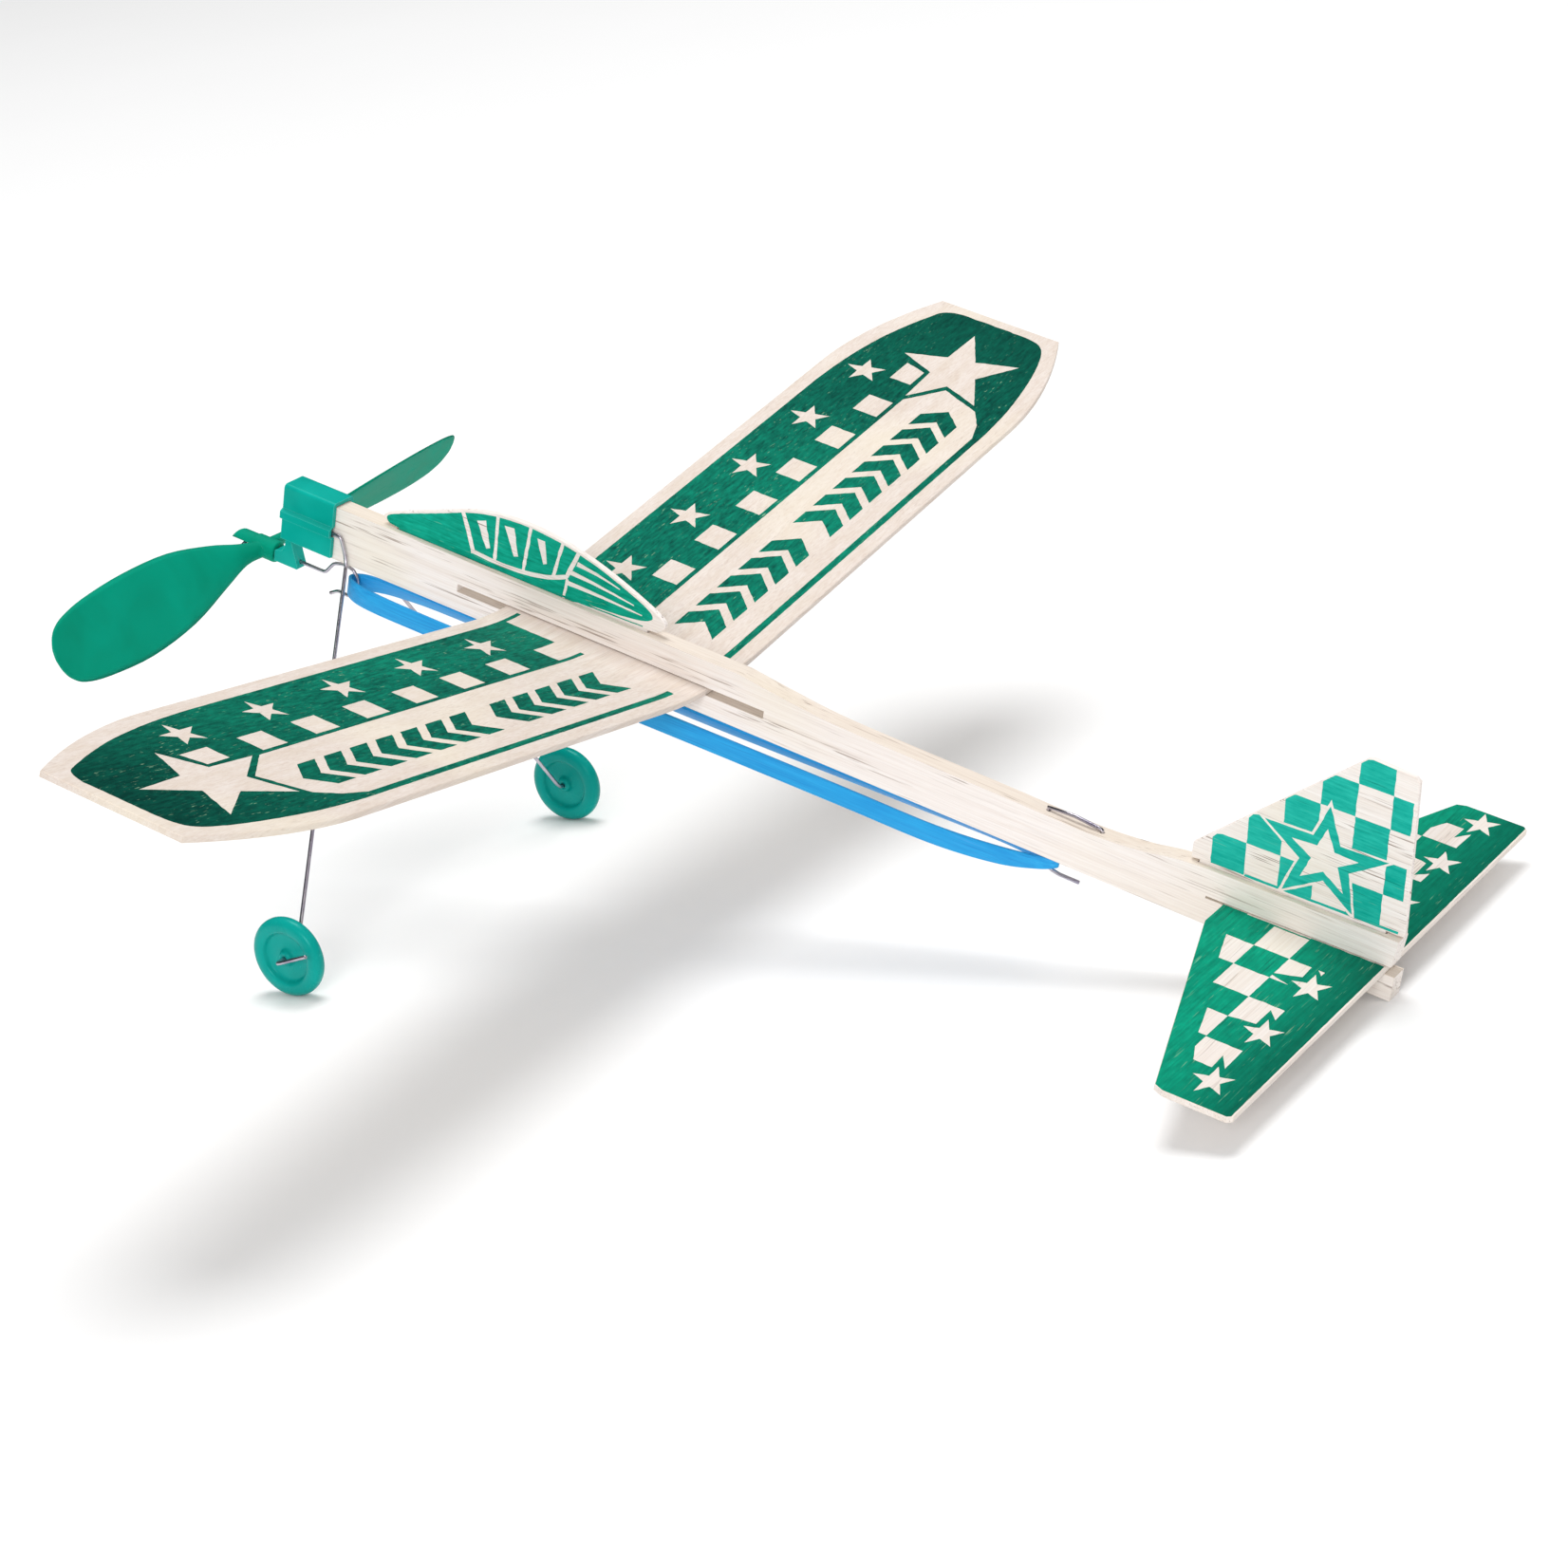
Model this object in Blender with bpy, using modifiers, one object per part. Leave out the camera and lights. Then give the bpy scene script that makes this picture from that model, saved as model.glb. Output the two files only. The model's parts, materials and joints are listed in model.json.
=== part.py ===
"""Rubber band plane: a balsa sheet model aircraft with a plastic nose, propeller and wheels.

Run with: blender --background --python part.py
Every shape is drawn in the aircraft's own frame: +X towards the nose, +Y to port, +Z up,
with Z = 0 on the underside of the fuselage. The empty "stance" then tips the aircraft
nose up, so that it stands on its two wheels and the heel of its tail.
"""

from math import asin, atan2, cos, hypot, pi, radians, sin, tan

import bmesh
import bpy
from mathutils import Matrix, Vector
from mathutils.geometry import interpolate_bezier

MM = 0.001
GAP = 0.3 * MM  # between pieces that touch

# Fuselage: a profile cut from sheet
FUSELAGE_THICKNESS = 5.6 * MM
NOSE_X = 142.9 * MM
TAIL_X = -181.3 * MM
DECK_Z = 15.0 * MM  # top edge under the cockpit panel
WAIST_Z = 11.0 * MM  # top edge at its lowest, by the rear hook
TAIL_TOP_Z = 15.8 * MM

# Sheet surfaces
SHEET = 1.6 * MM
SLOT = SHEET + 2 * GAP
SLIT = 0.6 * MM  # height of a bare saw cut
GROOVE_DEPTH = 3.0 * MM  # how far the cockpit panel sits in the fuselage
PANEL_GROOVE = (31.0 * MM, 111.0 * MM)
FIN_GROOVE_DEPTH = 4.4 * MM
FIN_GROOVE = (TAIL_X + 5.0 * MM, -126.8 * MM)

# Wing
WING_SPAN = 395.0 * MM
WING_CHORD = 62.4 * MM
WING_LE_X = 73.1 * MM
WING_Z = 6.5 * MM  # middle of the sheet at the root
WING_SLOT = (-6.3 * MM, 88.9 * MM)
DIHEDRAL = radians(10.4)
WING_FLAT_Y = 3.2 * MM  # the sheet is flat inside the fuselage
WING_BENT_Y = 19.8 * MM  # and straight again outside this
TIP_CURVE_Y = 150.0 * MM  # the edges curve in from here to the tip
TIP_LE_SET_BACK = 11.4 * MM
TIP_TE_SET_IN = 11.7 * MM

# Stabilizer
STAB_HALF_SPAN = 86.5 * MM
STAB_TE_X = -178.7 * MM
STAB_ROOT_CHORD = 42.5 * MM
STAB_TIP_CHORD = 18.1 * MM
STAB_SWEEP_Y = 13.0 * MM  # the leading edge is square to the fuselage up to here
STAB_TIP_ROUND = 1.2 * MM
STAB_TE_Z = 7.55 * MM
STAB_INCIDENCE = radians(1.5)  # trailing edge up
STAB_SLOT_X = -131.4 * MM  # where the slit in front of the stabilizer ends

# Nose housing: a moulded sleeve over the nose
HOUSING_REAR_X = 129.2 * MM
HOUSING_FRONT_X = 145.8 * MM
HOUSING_WALL = 1.15 * MM
HOUSING_TOP_Z = 16.5 * MM
HOUSING_SKIRT_Z = 0.6 * MM
RIB_Z = 8.0 * MM  # the side ribs, which hold the landing gear wire
RIB_HALF_HEIGHT = 1.0 * MM

# Drive
SHAFT_Z = -6.5 * MM
SHAFT_RADIUS = 0.5 * MM
BORE_CLEARANCE = 0.12 * MM
BEARING_REAR_X = 141.3 * MM
BEARING_FRONT_X = 149.0 * MM
PROPELLER_X = 153.3 * MM
PROPELLER_RADIUS = 84.3 * MM
PROPELLER_PHASE = radians(-1.9)  # how far the blades stand from level
BLADE_PITCH_MIDDLE = radians(31.1)
BLADE_TWIST = radians(-12.8)  # from hub to tip
BLADE_HALF_WIDTH = 11.7 * MM
BLADE_CAMBER = 0.5 * MM  # in the middle of the widest section
HUB_RADIUS = 3.0 * MM
RAMP_TOOTH = radians(75)  # where the free-wheel ramp ends, from straight up towards port
RAMP_LENGTH = radians(320)
BAND_THICKNESS = 0.9 * MM

# Landing gear
GEAR_WIRE_RADIUS = 0.55 * MM
WHEEL_X = 88.7 * MM
WHEEL_Z = -79.5 * MM
WHEEL_TRACK = 127.4 * MM
WHEEL_RADIUS = 11.0 * MM
RIM_HALF_WIDTH = 2.1 * MM

BALSA = (0.84, 0.72, 0.58)
GREEN = (0.01, 0.33, 0.22)
STEEL = (0.45, 0.44, 0.48)
RUBBER = (0.03, 0.30, 0.72)


def clear_scene():
    for obj in list(bpy.data.objects):
        bpy.data.objects.remove(obj, do_unlink=True)


def make_collection(name):
    collection = bpy.data.collections.new(name)
    bpy.context.scene.collection.children.link(collection)
    return collection


def make_material(name, color, roughness, metallic=0.0):
    material = bpy.data.materials.new(name)
    material.use_nodes = True
    shader = material.node_tree.nodes["Principled BSDF"]
    shader.inputs["Base Color"].default_value = (*color, 1.0)
    shader.inputs["Roughness"].default_value = roughness
    shader.inputs["Metallic"].default_value = metallic
    return material


def make_empty(name, location, parent=None):
    empty = bpy.data.objects.new(name, None)
    empty.location = location
    empty.parent = parent
    parts.objects.link(empty)
    return empty


def add_part(name, data, material, parent, location=(0, 0, 0)):
    obj = bpy.data.objects.new(name, data)
    obj.location = location
    obj.parent = parent
    obj.data.materials.append(material)
    parts.objects.link(obj)
    return obj


def mesh_from_curve(curve):
    """The closed mesh that a curve makes, with its caps welded on."""
    holder = bpy.data.objects.new("holder", curve)
    bpy.context.scene.collection.objects.link(holder)
    graph = bpy.context.evaluated_depsgraph_get()
    mesh = bpy.data.meshes.new_from_object(holder.evaluated_get(graph))
    bpy.data.objects.remove(holder, do_unlink=True)
    shape = bmesh.new()
    shape.from_mesh(mesh)
    bmesh.ops.remove_doubles(shape, verts=shape.verts, dist=0.005 * MM)
    bmesh.ops.recalc_face_normals(shape, faces=shape.faces)
    shape.to_mesh(mesh)
    shape.free()
    return mesh


def flat_mesh(outlines, thickness):
    """A plate in the XY plane. The outlines after the first are holes in it."""
    curve = bpy.data.curves.new("outline", "CURVE")
    curve.dimensions = "2D"
    curve.fill_mode = "BOTH"
    curve.extrude = thickness / 2
    for outline in outlines:
        spline = curve.splines.new("POLY")
        spline.points.add(len(outline) - 1)
        for point, (x, y) in zip(spline.points, outline):
            point.co = (x, y, 0, 1)
        spline.use_cyclic_u = True
    return mesh_from_curve(curve)


def side_mesh(outlines, thickness):
    """A plate in the XZ plane, centred on Y = 0."""
    mesh = flat_mesh(outlines, thickness)
    mesh.transform(Matrix.Rotation(pi / 2, 4, "X"))
    return mesh


def section_mesh(outline, x_from, x_to):
    """A prism along X with its outline in the YZ plane."""
    mesh = flat_mesh([outline], x_to - x_from)
    upright = Matrix(((0, 0, 1, (x_from + x_to) / 2), (1, 0, 0, 0), (0, 1, 0, 0), (0, 0, 0, 1)))
    mesh.transform(upright)
    return mesh


def rod_mesh(points, radius):
    """A round wire along the points, closed at both ends."""
    curve = bpy.data.curves.new("wire", "CURVE")
    curve.dimensions = "3D"
    curve.bevel_depth = radius
    curve.bevel_resolution = 2
    curve.use_fill_caps = True
    spline = curve.splines.new("POLY")
    spline.points.add(len(points) - 1)
    for point, place in zip(spline.points, points):
        point.co = (*place, 1)
    return mesh_from_curve(curve)


def cylinder_mesh(radius, x_from, x_to, sides=32):
    """A cylinder along X."""
    shape = bmesh.new()
    bmesh.ops.create_cone(
        shape, cap_ends=True, segments=sides, radius1=radius, radius2=radius, depth=x_to - x_from
    )
    shape.transform(Matrix.Translation(((x_from + x_to) / 2, 0, 0)) @ Matrix.Rotation(pi / 2, 4, "Y"))
    mesh = bpy.data.meshes.new("cylinder")
    shape.to_mesh(mesh)
    shape.free()
    return mesh


def smooth_curve(knots, steps=6, closed=False):
    """Points on a smooth curve through the knots, which may have any number of coordinates."""
    count = len(knots)
    spans = count if closed else count - 1
    points = []
    for i in range(spans):
        if closed:
            a, b, c, d = (knots[(i + k) % count] for k in (-1, 0, 1, 2))
        else:
            b, c = knots[i], knots[i + 1]
            a = knots[i - 1] if i else b
            d = knots[i + 2] if i + 2 < count else c
        for step in range(steps):
            t = step / steps
            point = []
            for p, q, r, s in zip(a, b, c, d):
                square = 2 * p - 5 * q + 4 * r - s
                cube = 3 * q - p - 3 * r + s
                point.append(0.5 * (2 * q + (r - p) * t + square * t**2 + cube * t**3))
            points.append(tuple(point))
    if not closed:
        points.append(tuple(knots[-1]))
    return points


def bent_wire(corners, bend_radius, steps=5):
    """The middle line of a wire: straight between the corners, and bent at each one."""
    corners = [Vector(corner) for corner in corners]
    points = [corners[0]]
    for before, corner, after in zip(corners, corners[1:], corners[2:]):
        reach = min(bend_radius, (corner - before).length / 2.2, (after - corner).length / 2.2)
        start = corner + (before - corner).normalized() * reach
        end = corner + (after - corner).normalized() * reach
        points += interpolate_bezier(start, corner, corner, end, steps)
    points.append(corners[-1])
    return points


def cut(obj, mesh, operation="DIFFERENCE"):
    """Takes the mesh, given in obj's own frame, away from obj, or joins it on."""
    tool = bpy.data.objects.new(f"{obj.name}_tool_{len(obj.modifiers)}", mesh)
    cutters.objects.link(tool)
    tool.parent = obj.parent
    tool.location = obj.location
    tool.hide_render = True
    tool.display_type = "WIRE"
    modifier = obj.modifiers.new(operation.lower(), "BOOLEAN")
    modifier.operation = operation
    modifier.object = tool


def round_edges(obj, width, segments=2):
    modifier = obj.modifiers.new("round_edges", "BEVEL")
    modifier.width = width
    modifier.segments = segments
    modifier.limit_method = "ANGLE"
    modifier.angle_limit = radians(40)


def smooth_shade(obj):
    obj.data.shade_smooth()
    obj.data.set_sharp_from_angle(angle=radians(35))


def box_outline(x_from, x_to, z_from, z_to):
    return [(x_from, z_from), (x_to, z_from), (x_to, z_to), (x_from, z_to)]


def stab_mid_z(x):
    """Height of the middle of the stabilizer sheet at a place along the fuselage."""
    return STAB_TE_Z - tan(STAB_INCIDENCE) * (x - STAB_TE_X)


def fuselage_outline():
    """Underside, nose, the top edge with its waist, and the tail with the stabilizer's open slot.

    The slot is as high as the sheet only where the sheet sits. In front of it the cut is a slit.
    """
    top = [
        (2 * MM, DECK_Z - 0.2 * MM),
        (-10 * MM, 13.4 * MM),
        (-25 * MM, 12.0 * MM),
        (-45 * MM, 11.6 * MM),
        (-75 * MM, 11.4 * MM),
        (-98 * MM, WAIST_Z),
        (-112 * MM, 12.0 * MM),
        (-122 * MM, 13.8 * MM),
        (-130 * MM, 14.5 * MM),
    ]
    slot_rear = stab_mid_z(TAIL_X)
    slot_end_x = STAB_TE_X + STAB_ROOT_CHORD + GAP
    slot_end = stab_mid_z(slot_end_x)
    slit_top = stab_mid_z(STAB_SLOT_X) + SLOT / 2
    return [
        (TAIL_X, 0),
        (NOSE_X, 0),
        (NOSE_X, DECK_Z + 0.2 * MM),
        *smooth_curve(top, 5),
        (TAIL_X + 1.2 * MM, TAIL_TOP_Z),
        (TAIL_X + 1.6 * MM, slot_rear + SLOT / 2),
        (STAB_SLOT_X, slit_top),
        (STAB_SLOT_X, slit_top - SLIT),
        (slot_end_x, slot_end + SLOT / 2 - SLIT),
        (slot_end_x, slot_end - SLOT / 2),
        (TAIL_X + 0.2 * MM, slot_rear - SLOT / 2),
    ]


def make_fuselage(stance, material):
    slot = box_outline(*WING_SLOT, WING_Z - SLOT / 2, WING_Z + SLOT / 2)
    mesh = side_mesh([fuselage_outline(), slot], FUSELAGE_THICKNESS)
    fuselage = add_part("fuselage", mesh, material, stance)
    panel_groove = box_outline(*PANEL_GROOVE, DECK_Z - GROOVE_DEPTH, DECK_Z + 5 * MM)
    fin_groove = box_outline(*FIN_GROOVE, TAIL_TOP_Z - FIN_GROOVE_DEPTH, TAIL_TOP_Z + 5 * MM)
    for groove in (panel_groove, fin_groove):
        cut(fuselage, side_mesh([groove], SLOT))
    cut(fuselage, rod_mesh(hook_path(), SHAFT_RADIUS + 0.2 * MM))
    cut(fuselage, rod_mesh(staple_path(-0.6 * MM), SHAFT_RADIUS + 0.2 * MM))
    return fuselage


def make_cockpit_panel(stance, material):
    """The silhouette of the cockpit, standing in a groove in the fuselage's top edge."""
    top = [
        (28.5 * MM, 15.6 * MM),
        (26.6 * MM, 17.4 * MM),
        (27.4 * MM, 19.6 * MM),
        (33.0 * MM, 22.3 * MM),
        (43.0 * MM, 26.0 * MM),
        (52.0 * MM, 28.6 * MM),
        (61.0 * MM, 30.3 * MM),
        (70.5 * MM, 31.0 * MM),
        (80.0 * MM, 30.4 * MM),
        (88.5 * MM, 28.5 * MM),
        (98.0 * MM, 24.9 * MM),
        (112.0 * MM, 19.4 * MM),
        (115.5 * MM, 17.4 * MM),
        (113.4 * MM, 15.6 * MM),
    ]
    foot = DECK_Z - GROOVE_DEPTH + GAP
    rest = DECK_Z + GAP
    rear, front = PANEL_GROOVE[0] + 0.5 * MM, PANEL_GROOVE[1] - 0.5 * MM
    outline = smooth_curve(top, 4) + [(front, rest), (front, foot), (rear, foot), (rear, rest)]
    return add_part("cockpit_panel", side_mesh([outline], SHEET), material, stance)


def make_fin(stance, material):
    foot = TAIL_TOP_Z - FIN_GROOVE_DEPTH + GAP
    outline = [
        (-127.2 * MM, foot),
        (-127.2 * MM, 14.6 * MM + GAP),
        (-125.0 * MM, 14.3 * MM + GAP),
        (-124.8 * MM, 18.8 * MM),
        (-162.0 * MM, 56.6 * MM),
        (-163.2 * MM, 57.0 * MM),
        (-174.0 * MM, 56.6 * MM),
        (-175.2 * MM, 55.6 * MM),
        (-180.5 * MM, 17.0 * MM),
        (-180.3 * MM, TAIL_TOP_Z + GAP),
        (TAIL_X + 5.5 * MM, TAIL_TOP_Z + GAP),
        (TAIL_X + 5.5 * MM, foot),
    ]
    return add_part("fin", side_mesh([outline], SHEET), material, stance)


def wing_rise(y):
    """How far the wing sheet stands above its root at a place along the span."""
    y = abs(y)
    slope = tan(DIHEDRAL)
    if y < WING_FLAT_Y:
        return 0.0
    if y < WING_BENT_Y:
        return slope * (y - WING_FLAT_Y) ** 2 / (2 * (WING_BENT_Y - WING_FLAT_Y))
    return slope * (y - (WING_BENT_Y + WING_FLAT_Y) / 2)


def wing_edges(y):
    """The trailing and the leading edge, measured from the root's leading edge."""
    along = max(0.0, (abs(y) - TIP_CURVE_Y) / (WING_SPAN / 2 - TIP_CURVE_Y))
    bend = along**1.9
    return -WING_CHORD + TIP_TE_SET_IN * bend, -TIP_LE_SET_BACK * bend


def wing_stations():
    inner = [WING_FLAT_Y + (WING_BENT_Y - WING_FLAT_Y) * i / 6 for i in range(7)]
    outer = [TIP_CURVE_Y + (WING_SPAN / 2 - TIP_CURVE_Y) * i / 10 for i in range(11)]
    half = inner + outer
    return [-y for y in reversed(half)] + half


def make_wing(stance, material):
    """One sheet, bent up on both sides of the fuselage and free to slide in its slot."""
    shape = bmesh.new()
    rows = []
    for y in wing_stations():
        edges = wing_edges(y)
        rows.append([shape.verts.new((x, y, wing_rise(y))) for x in edges])
    for near, far in zip(rows, rows[1:]):
        shape.faces.new((near[0], near[1], far[1], far[0]))
    bmesh.ops.recalc_face_normals(shape, faces=shape.faces)
    mesh = bpy.data.meshes.new("wing")
    shape.to_mesh(mesh)
    shape.free()
    wing = add_part("wing", mesh, material, stance, (WING_LE_X, 0, WING_Z))
    thickness = wing.modifiers.new("thickness", "SOLIDIFY")
    thickness.thickness = SHEET
    thickness.offset = 0
    return wing


def make_stabilizer(stance, material):
    tip_le = STAB_TIP_CHORD
    half = [
        (STAB_ROOT_CHORD, STAB_SWEEP_Y),
        (tip_le + STAB_TIP_ROUND, STAB_HALF_SPAN - STAB_TIP_ROUND),
        (tip_le - STAB_TIP_ROUND, STAB_HALF_SPAN),
        (STAB_TIP_ROUND, STAB_HALF_SPAN),
        (0, STAB_HALF_SPAN - STAB_TIP_ROUND),
    ]
    outline = half + [(x, -y) for x, y in reversed(half)]
    place = (STAB_TE_X, 0, STAB_TE_Z)
    stabilizer = add_part("stabilizer", flat_mesh([outline], SHEET), material, stance, place)
    stabilizer.rotation_euler = (0, STAB_INCIDENCE, 0)
    return stabilizer


def housing_section(half_width, rib_width, top, bottom, corner):
    """Half a hat section with a rib on its side and a rounded top corner, and its mirror image."""
    half = [
        (half_width, bottom),
        (half_width, RIB_Z - 1.7 * RIB_HALF_HEIGHT),
        (rib_width, RIB_Z - RIB_HALF_HEIGHT),
        (rib_width, RIB_Z + RIB_HALF_HEIGHT),
        (half_width, RIB_Z + 1.7 * RIB_HALF_HEIGHT),
    ]
    turns = [pi / 2 * i / 4 for i in range(5)]
    half += [(half_width - corner + corner * cos(t), top - corner + corner * sin(t)) for t in turns]
    return half + [(-y, z) for y, z in reversed(half)]


def make_nose_housing(stance, material):
    """A sleeve over the nose, with ribs for the landing gear wire and the shaft's bearing below."""
    inside = FUSELAGE_THICKNESS / 2 + GAP
    outside = inside + HOUSING_WALL
    rib_inside = inside + 2 * GEAR_WIRE_RADIUS + GAP
    shell = housing_section(outside, rib_inside + 0.9 * MM, HOUSING_TOP_Z, HOUSING_SKIRT_Z, 1.1 * MM)
    hollow = housing_section(inside, rib_inside, DECK_Z + 0.5 * MM, HOUSING_SKIRT_Z - 5 * MM, 0.1 * MM)
    housing = add_part(
        "nose_housing", section_mesh(shell, HOUSING_REAR_X, HOUSING_FRONT_X), material, stance
    )
    cut(housing, section_mesh(hollow, HOUSING_REAR_X - 5 * MM, HOUSING_FRONT_X - HOUSING_WALL))
    bearing = [
        (HOUSING_FRONT_X - 0.8 * MM, 2.0 * MM),
        (HOUSING_FRONT_X - 0.1 * MM, 1.4 * MM),
        (HOUSING_FRONT_X, -2.6 * MM),
        (HOUSING_FRONT_X + 0.9 * MM, SHAFT_Z + 2.2 * MM),
        (BEARING_FRONT_X, SHAFT_Z + 1.5 * MM),
        (BEARING_FRONT_X, SHAFT_Z - 1.6 * MM),
        (BEARING_REAR_X, SHAFT_Z - 1.6 * MM),
        (BEARING_REAR_X, SHAFT_Z - 0.6 * MM),
        (HOUSING_FRONT_X - 1.7 * MM, -GAP),
        (HOUSING_FRONT_X - 0.8 * MM, -GAP),
    ]
    cut(housing, side_mesh([bearing], 4.0 * MM), "UNION")
    bore = cylinder_mesh(SHAFT_RADIUS + BORE_CLEARANCE, BEARING_REAR_X - 5 * MM, BEARING_FRONT_X + 5 * MM)
    bore.transform(Matrix.Translation((0, 0, SHAFT_Z)))
    cut(housing, bore)
    smooth_shade(housing)
    return housing


def blade_pitch(span):
    return BLADE_PITCH_MIDDLE + BLADE_TWIST * (span / PROPELLER_RADIUS - 0.6)


def blade_sections():
    """Span, leading edge, trailing edge and thickness of the blade at its stations."""
    knots = [
        (1.5 * MM, 2.6 * MM, -2.0 * MM, 3.6 * MM),
        (9.0 * MM, 4.4 * MM, -1.9 * MM, 3.0 * MM),
        (19.0 * MM, 7.5 * MM, -4.6 * MM, 2.2 * MM),
        (35.0 * MM, 10.9 * MM, -9.1 * MM, 1.7 * MM),
        (53.0 * MM, 11.7 * MM, -11.3 * MM, 1.4 * MM),
        (69.0 * MM, 10.8 * MM, -10.6 * MM, 1.2 * MM),
        (77.5 * MM, 9.2 * MM, -9.0 * MM, 1.1 * MM),
        (81.4 * MM, 7.5 * MM, -6.6 * MM, 1.0 * MM),
        (83.4 * MM, 5.4 * MM, -3.8 * MM, 0.8 * MM),
        (PROPELLER_RADIUS, 3.0 * MM, -1.0 * MM, 0.6 * MM),
    ]
    return smooth_curve(knots, 4)


def blade_mesh(turn):
    """One blade: a loft of thin lens sections, turned about the shaft's axis."""
    shape = bmesh.new()
    around = 12
    rings = []
    for span, leading, trailing, thickness in blade_sections():
        pitch = blade_pitch(span)
        ring = []
        for i in range(around):
            angle = 2 * pi * i / around
            chordwise = (leading + trailing) / 2 + (leading - trailing) / 2 * cos(angle)
            camber = BLADE_CAMBER * (1 - (chordwise / BLADE_HALF_WIDTH) ** 2)
            depth = thickness / 2 * sin(angle) + camber
            ring.append(
                shape.verts.new(
                    (
                        chordwise * sin(pitch) + depth * cos(pitch),
                        span,
                        chordwise * cos(pitch) - depth * sin(pitch),
                    )
                )
            )
        rings.append(ring)
    for near, far in zip(rings, rings[1:]):
        for i in range(around):
            j = (i + 1) % around
            shape.faces.new((near[i], near[j], far[j], far[i]))
    shape.faces.new(rings[0])
    shape.faces.new(rings[-1])
    bmesh.ops.recalc_face_normals(shape, faces=shape.faces)
    shape.transform(Matrix.Rotation(turn, 4, "X"))
    mesh = bpy.data.meshes.new("blade")
    shape.to_mesh(mesh)
    shape.free()
    return mesh


def ramp_mesh():
    """The free-wheel ramp on the hub's front: a ring that climbs forward once round to one tooth."""
    shape = bmesh.new()
    steps = 20
    inner = SHAFT_RADIUS + 0.9 * MM
    outer = HUB_RADIUS - 0.3 * MM
    rings = []
    for i in range(steps + 1):
        turn = RAMP_TOOTH - RAMP_LENGTH * (1 - i / steps)
        front = 4.2 * MM + 5.6 * MM * (i / steps) ** 1.2
        corners = ((inner, 2.0 * MM), (outer, 2.0 * MM), (outer, front), (inner, front))
        rings.append([shape.verts.new((x, r * sin(turn), r * cos(turn))) for r, x in corners])
    for near, far in zip(rings, rings[1:]):
        for i in range(4):
            j = (i + 1) % 4
            shape.faces.new((near[i], near[j], far[j], far[i]))
    shape.faces.new(rings[0])
    shape.faces.new(rings[-1])
    bmesh.ops.recalc_face_normals(shape, faces=shape.faces)
    mesh = bpy.data.meshes.new("ramp")
    shape.to_mesh(mesh)
    shape.free()
    return mesh


def make_propeller(axis, material):
    """Two paddle blades on one hub, in one moulding."""
    hub_rear = BEARING_FRONT_X + GAP - PROPELLER_X
    propeller = add_part("propeller", cylinder_mesh(HUB_RADIUS, hub_rear, 3.4 * MM), material, axis)
    round_edges(propeller, 0.5 * MM)
    for turn in (PROPELLER_PHASE, PROPELLER_PHASE + pi):
        cut(propeller, blade_mesh(turn), "UNION")
    cut(propeller, ramp_mesh(), "UNION")
    cut(propeller, cylinder_mesh(SHAFT_RADIUS + GAP, -10 * MM, 20 * MM))
    smooth_shade(propeller)
    return propeller


def make_propeller_shaft(axis, material):
    """One steel wire: the catch in front of the hub, the shaft, and the hook for the band."""
    x = PROPELLER_X
    catch_turn = RAMP_TOOTH + radians(36)
    catch_end = (6.4 * MM, 2.6 * MM * sin(catch_turn), 2.6 * MM * cos(catch_turn))
    shaft_end = (133.2 * MM - x, 0, 0)
    hook = [
        (130.6 * MM - x, 0, 3.7 * MM),
        (127.2 * MM - x, 0, 4.5 * MM),
        (124.2 * MM - x, 0, 4.0 * MM),
        (122.6 * MM - x, 0, 2.0 * MM),
        (122.3 * MM - x, 0, -0.4 * MM),
        (122.9 * MM - x, 0, -2.7 * MM),
        (124.8 * MM - x, 0, -4.0 * MM),
        (128.6 * MM - x, 0, -3.9 * MM),
        (131.0 * MM - x, 0, -5.4 * MM),
    ]
    path = bent_wire([catch_end, (6.4 * MM, 0, 0), shaft_end] + hook, 1.6 * MM, 4)
    wire = add_part("propeller_shaft", rod_mesh(path, SHAFT_RADIUS), material, axis)
    smooth_shade(wire)
    return wire


def hook_path():
    """The rear hook's front leg: down through the fuselage, then back under it to hold the band."""
    corners = [
        (-86.2 * MM, 0, WAIST_Z + 0.9 * MM),
        (-88.9 * MM, 0, -1.0 * MM),
        (-89.6 * MM, 0, -4.1 * MM),
        (-92.2 * MM, 0, -4.6 * MM),
        (-97.8 * MM, 0, -4.6 * MM),
    ]
    return bent_wire(corners, 1.4 * MM)


def staple_path(extra=0.0):
    """The rear hook's short rear leg, which stops inside the wood."""
    return [(-101.2 * MM, 0, WAIST_Z + 3 * MM), (-101.2 * MM, 0, 5.4 * MM + extra)]


def make_rear_hook(stance, material):
    """A steel staple pressed through the fuselage: its long leg ends in the band's hook."""
    bridge_z = WAIST_Z + 0.9 * MM
    corners = [
        (-101.2 * MM, 0, 5.4 * MM),
        (-101.2 * MM, 0, bridge_z - 0.2 * MM),
        (-93.5 * MM, 0, bridge_z + 0.5 * MM),
    ]
    path = bent_wire(corners + [tuple(hook_path()[0])], 1.2 * MM)[:-1] + hook_path()
    wire = add_part("rear_hook", rod_mesh(path, SHAFT_RADIUS), material, stance)
    smooth_shade(wire)
    return wire


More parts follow.
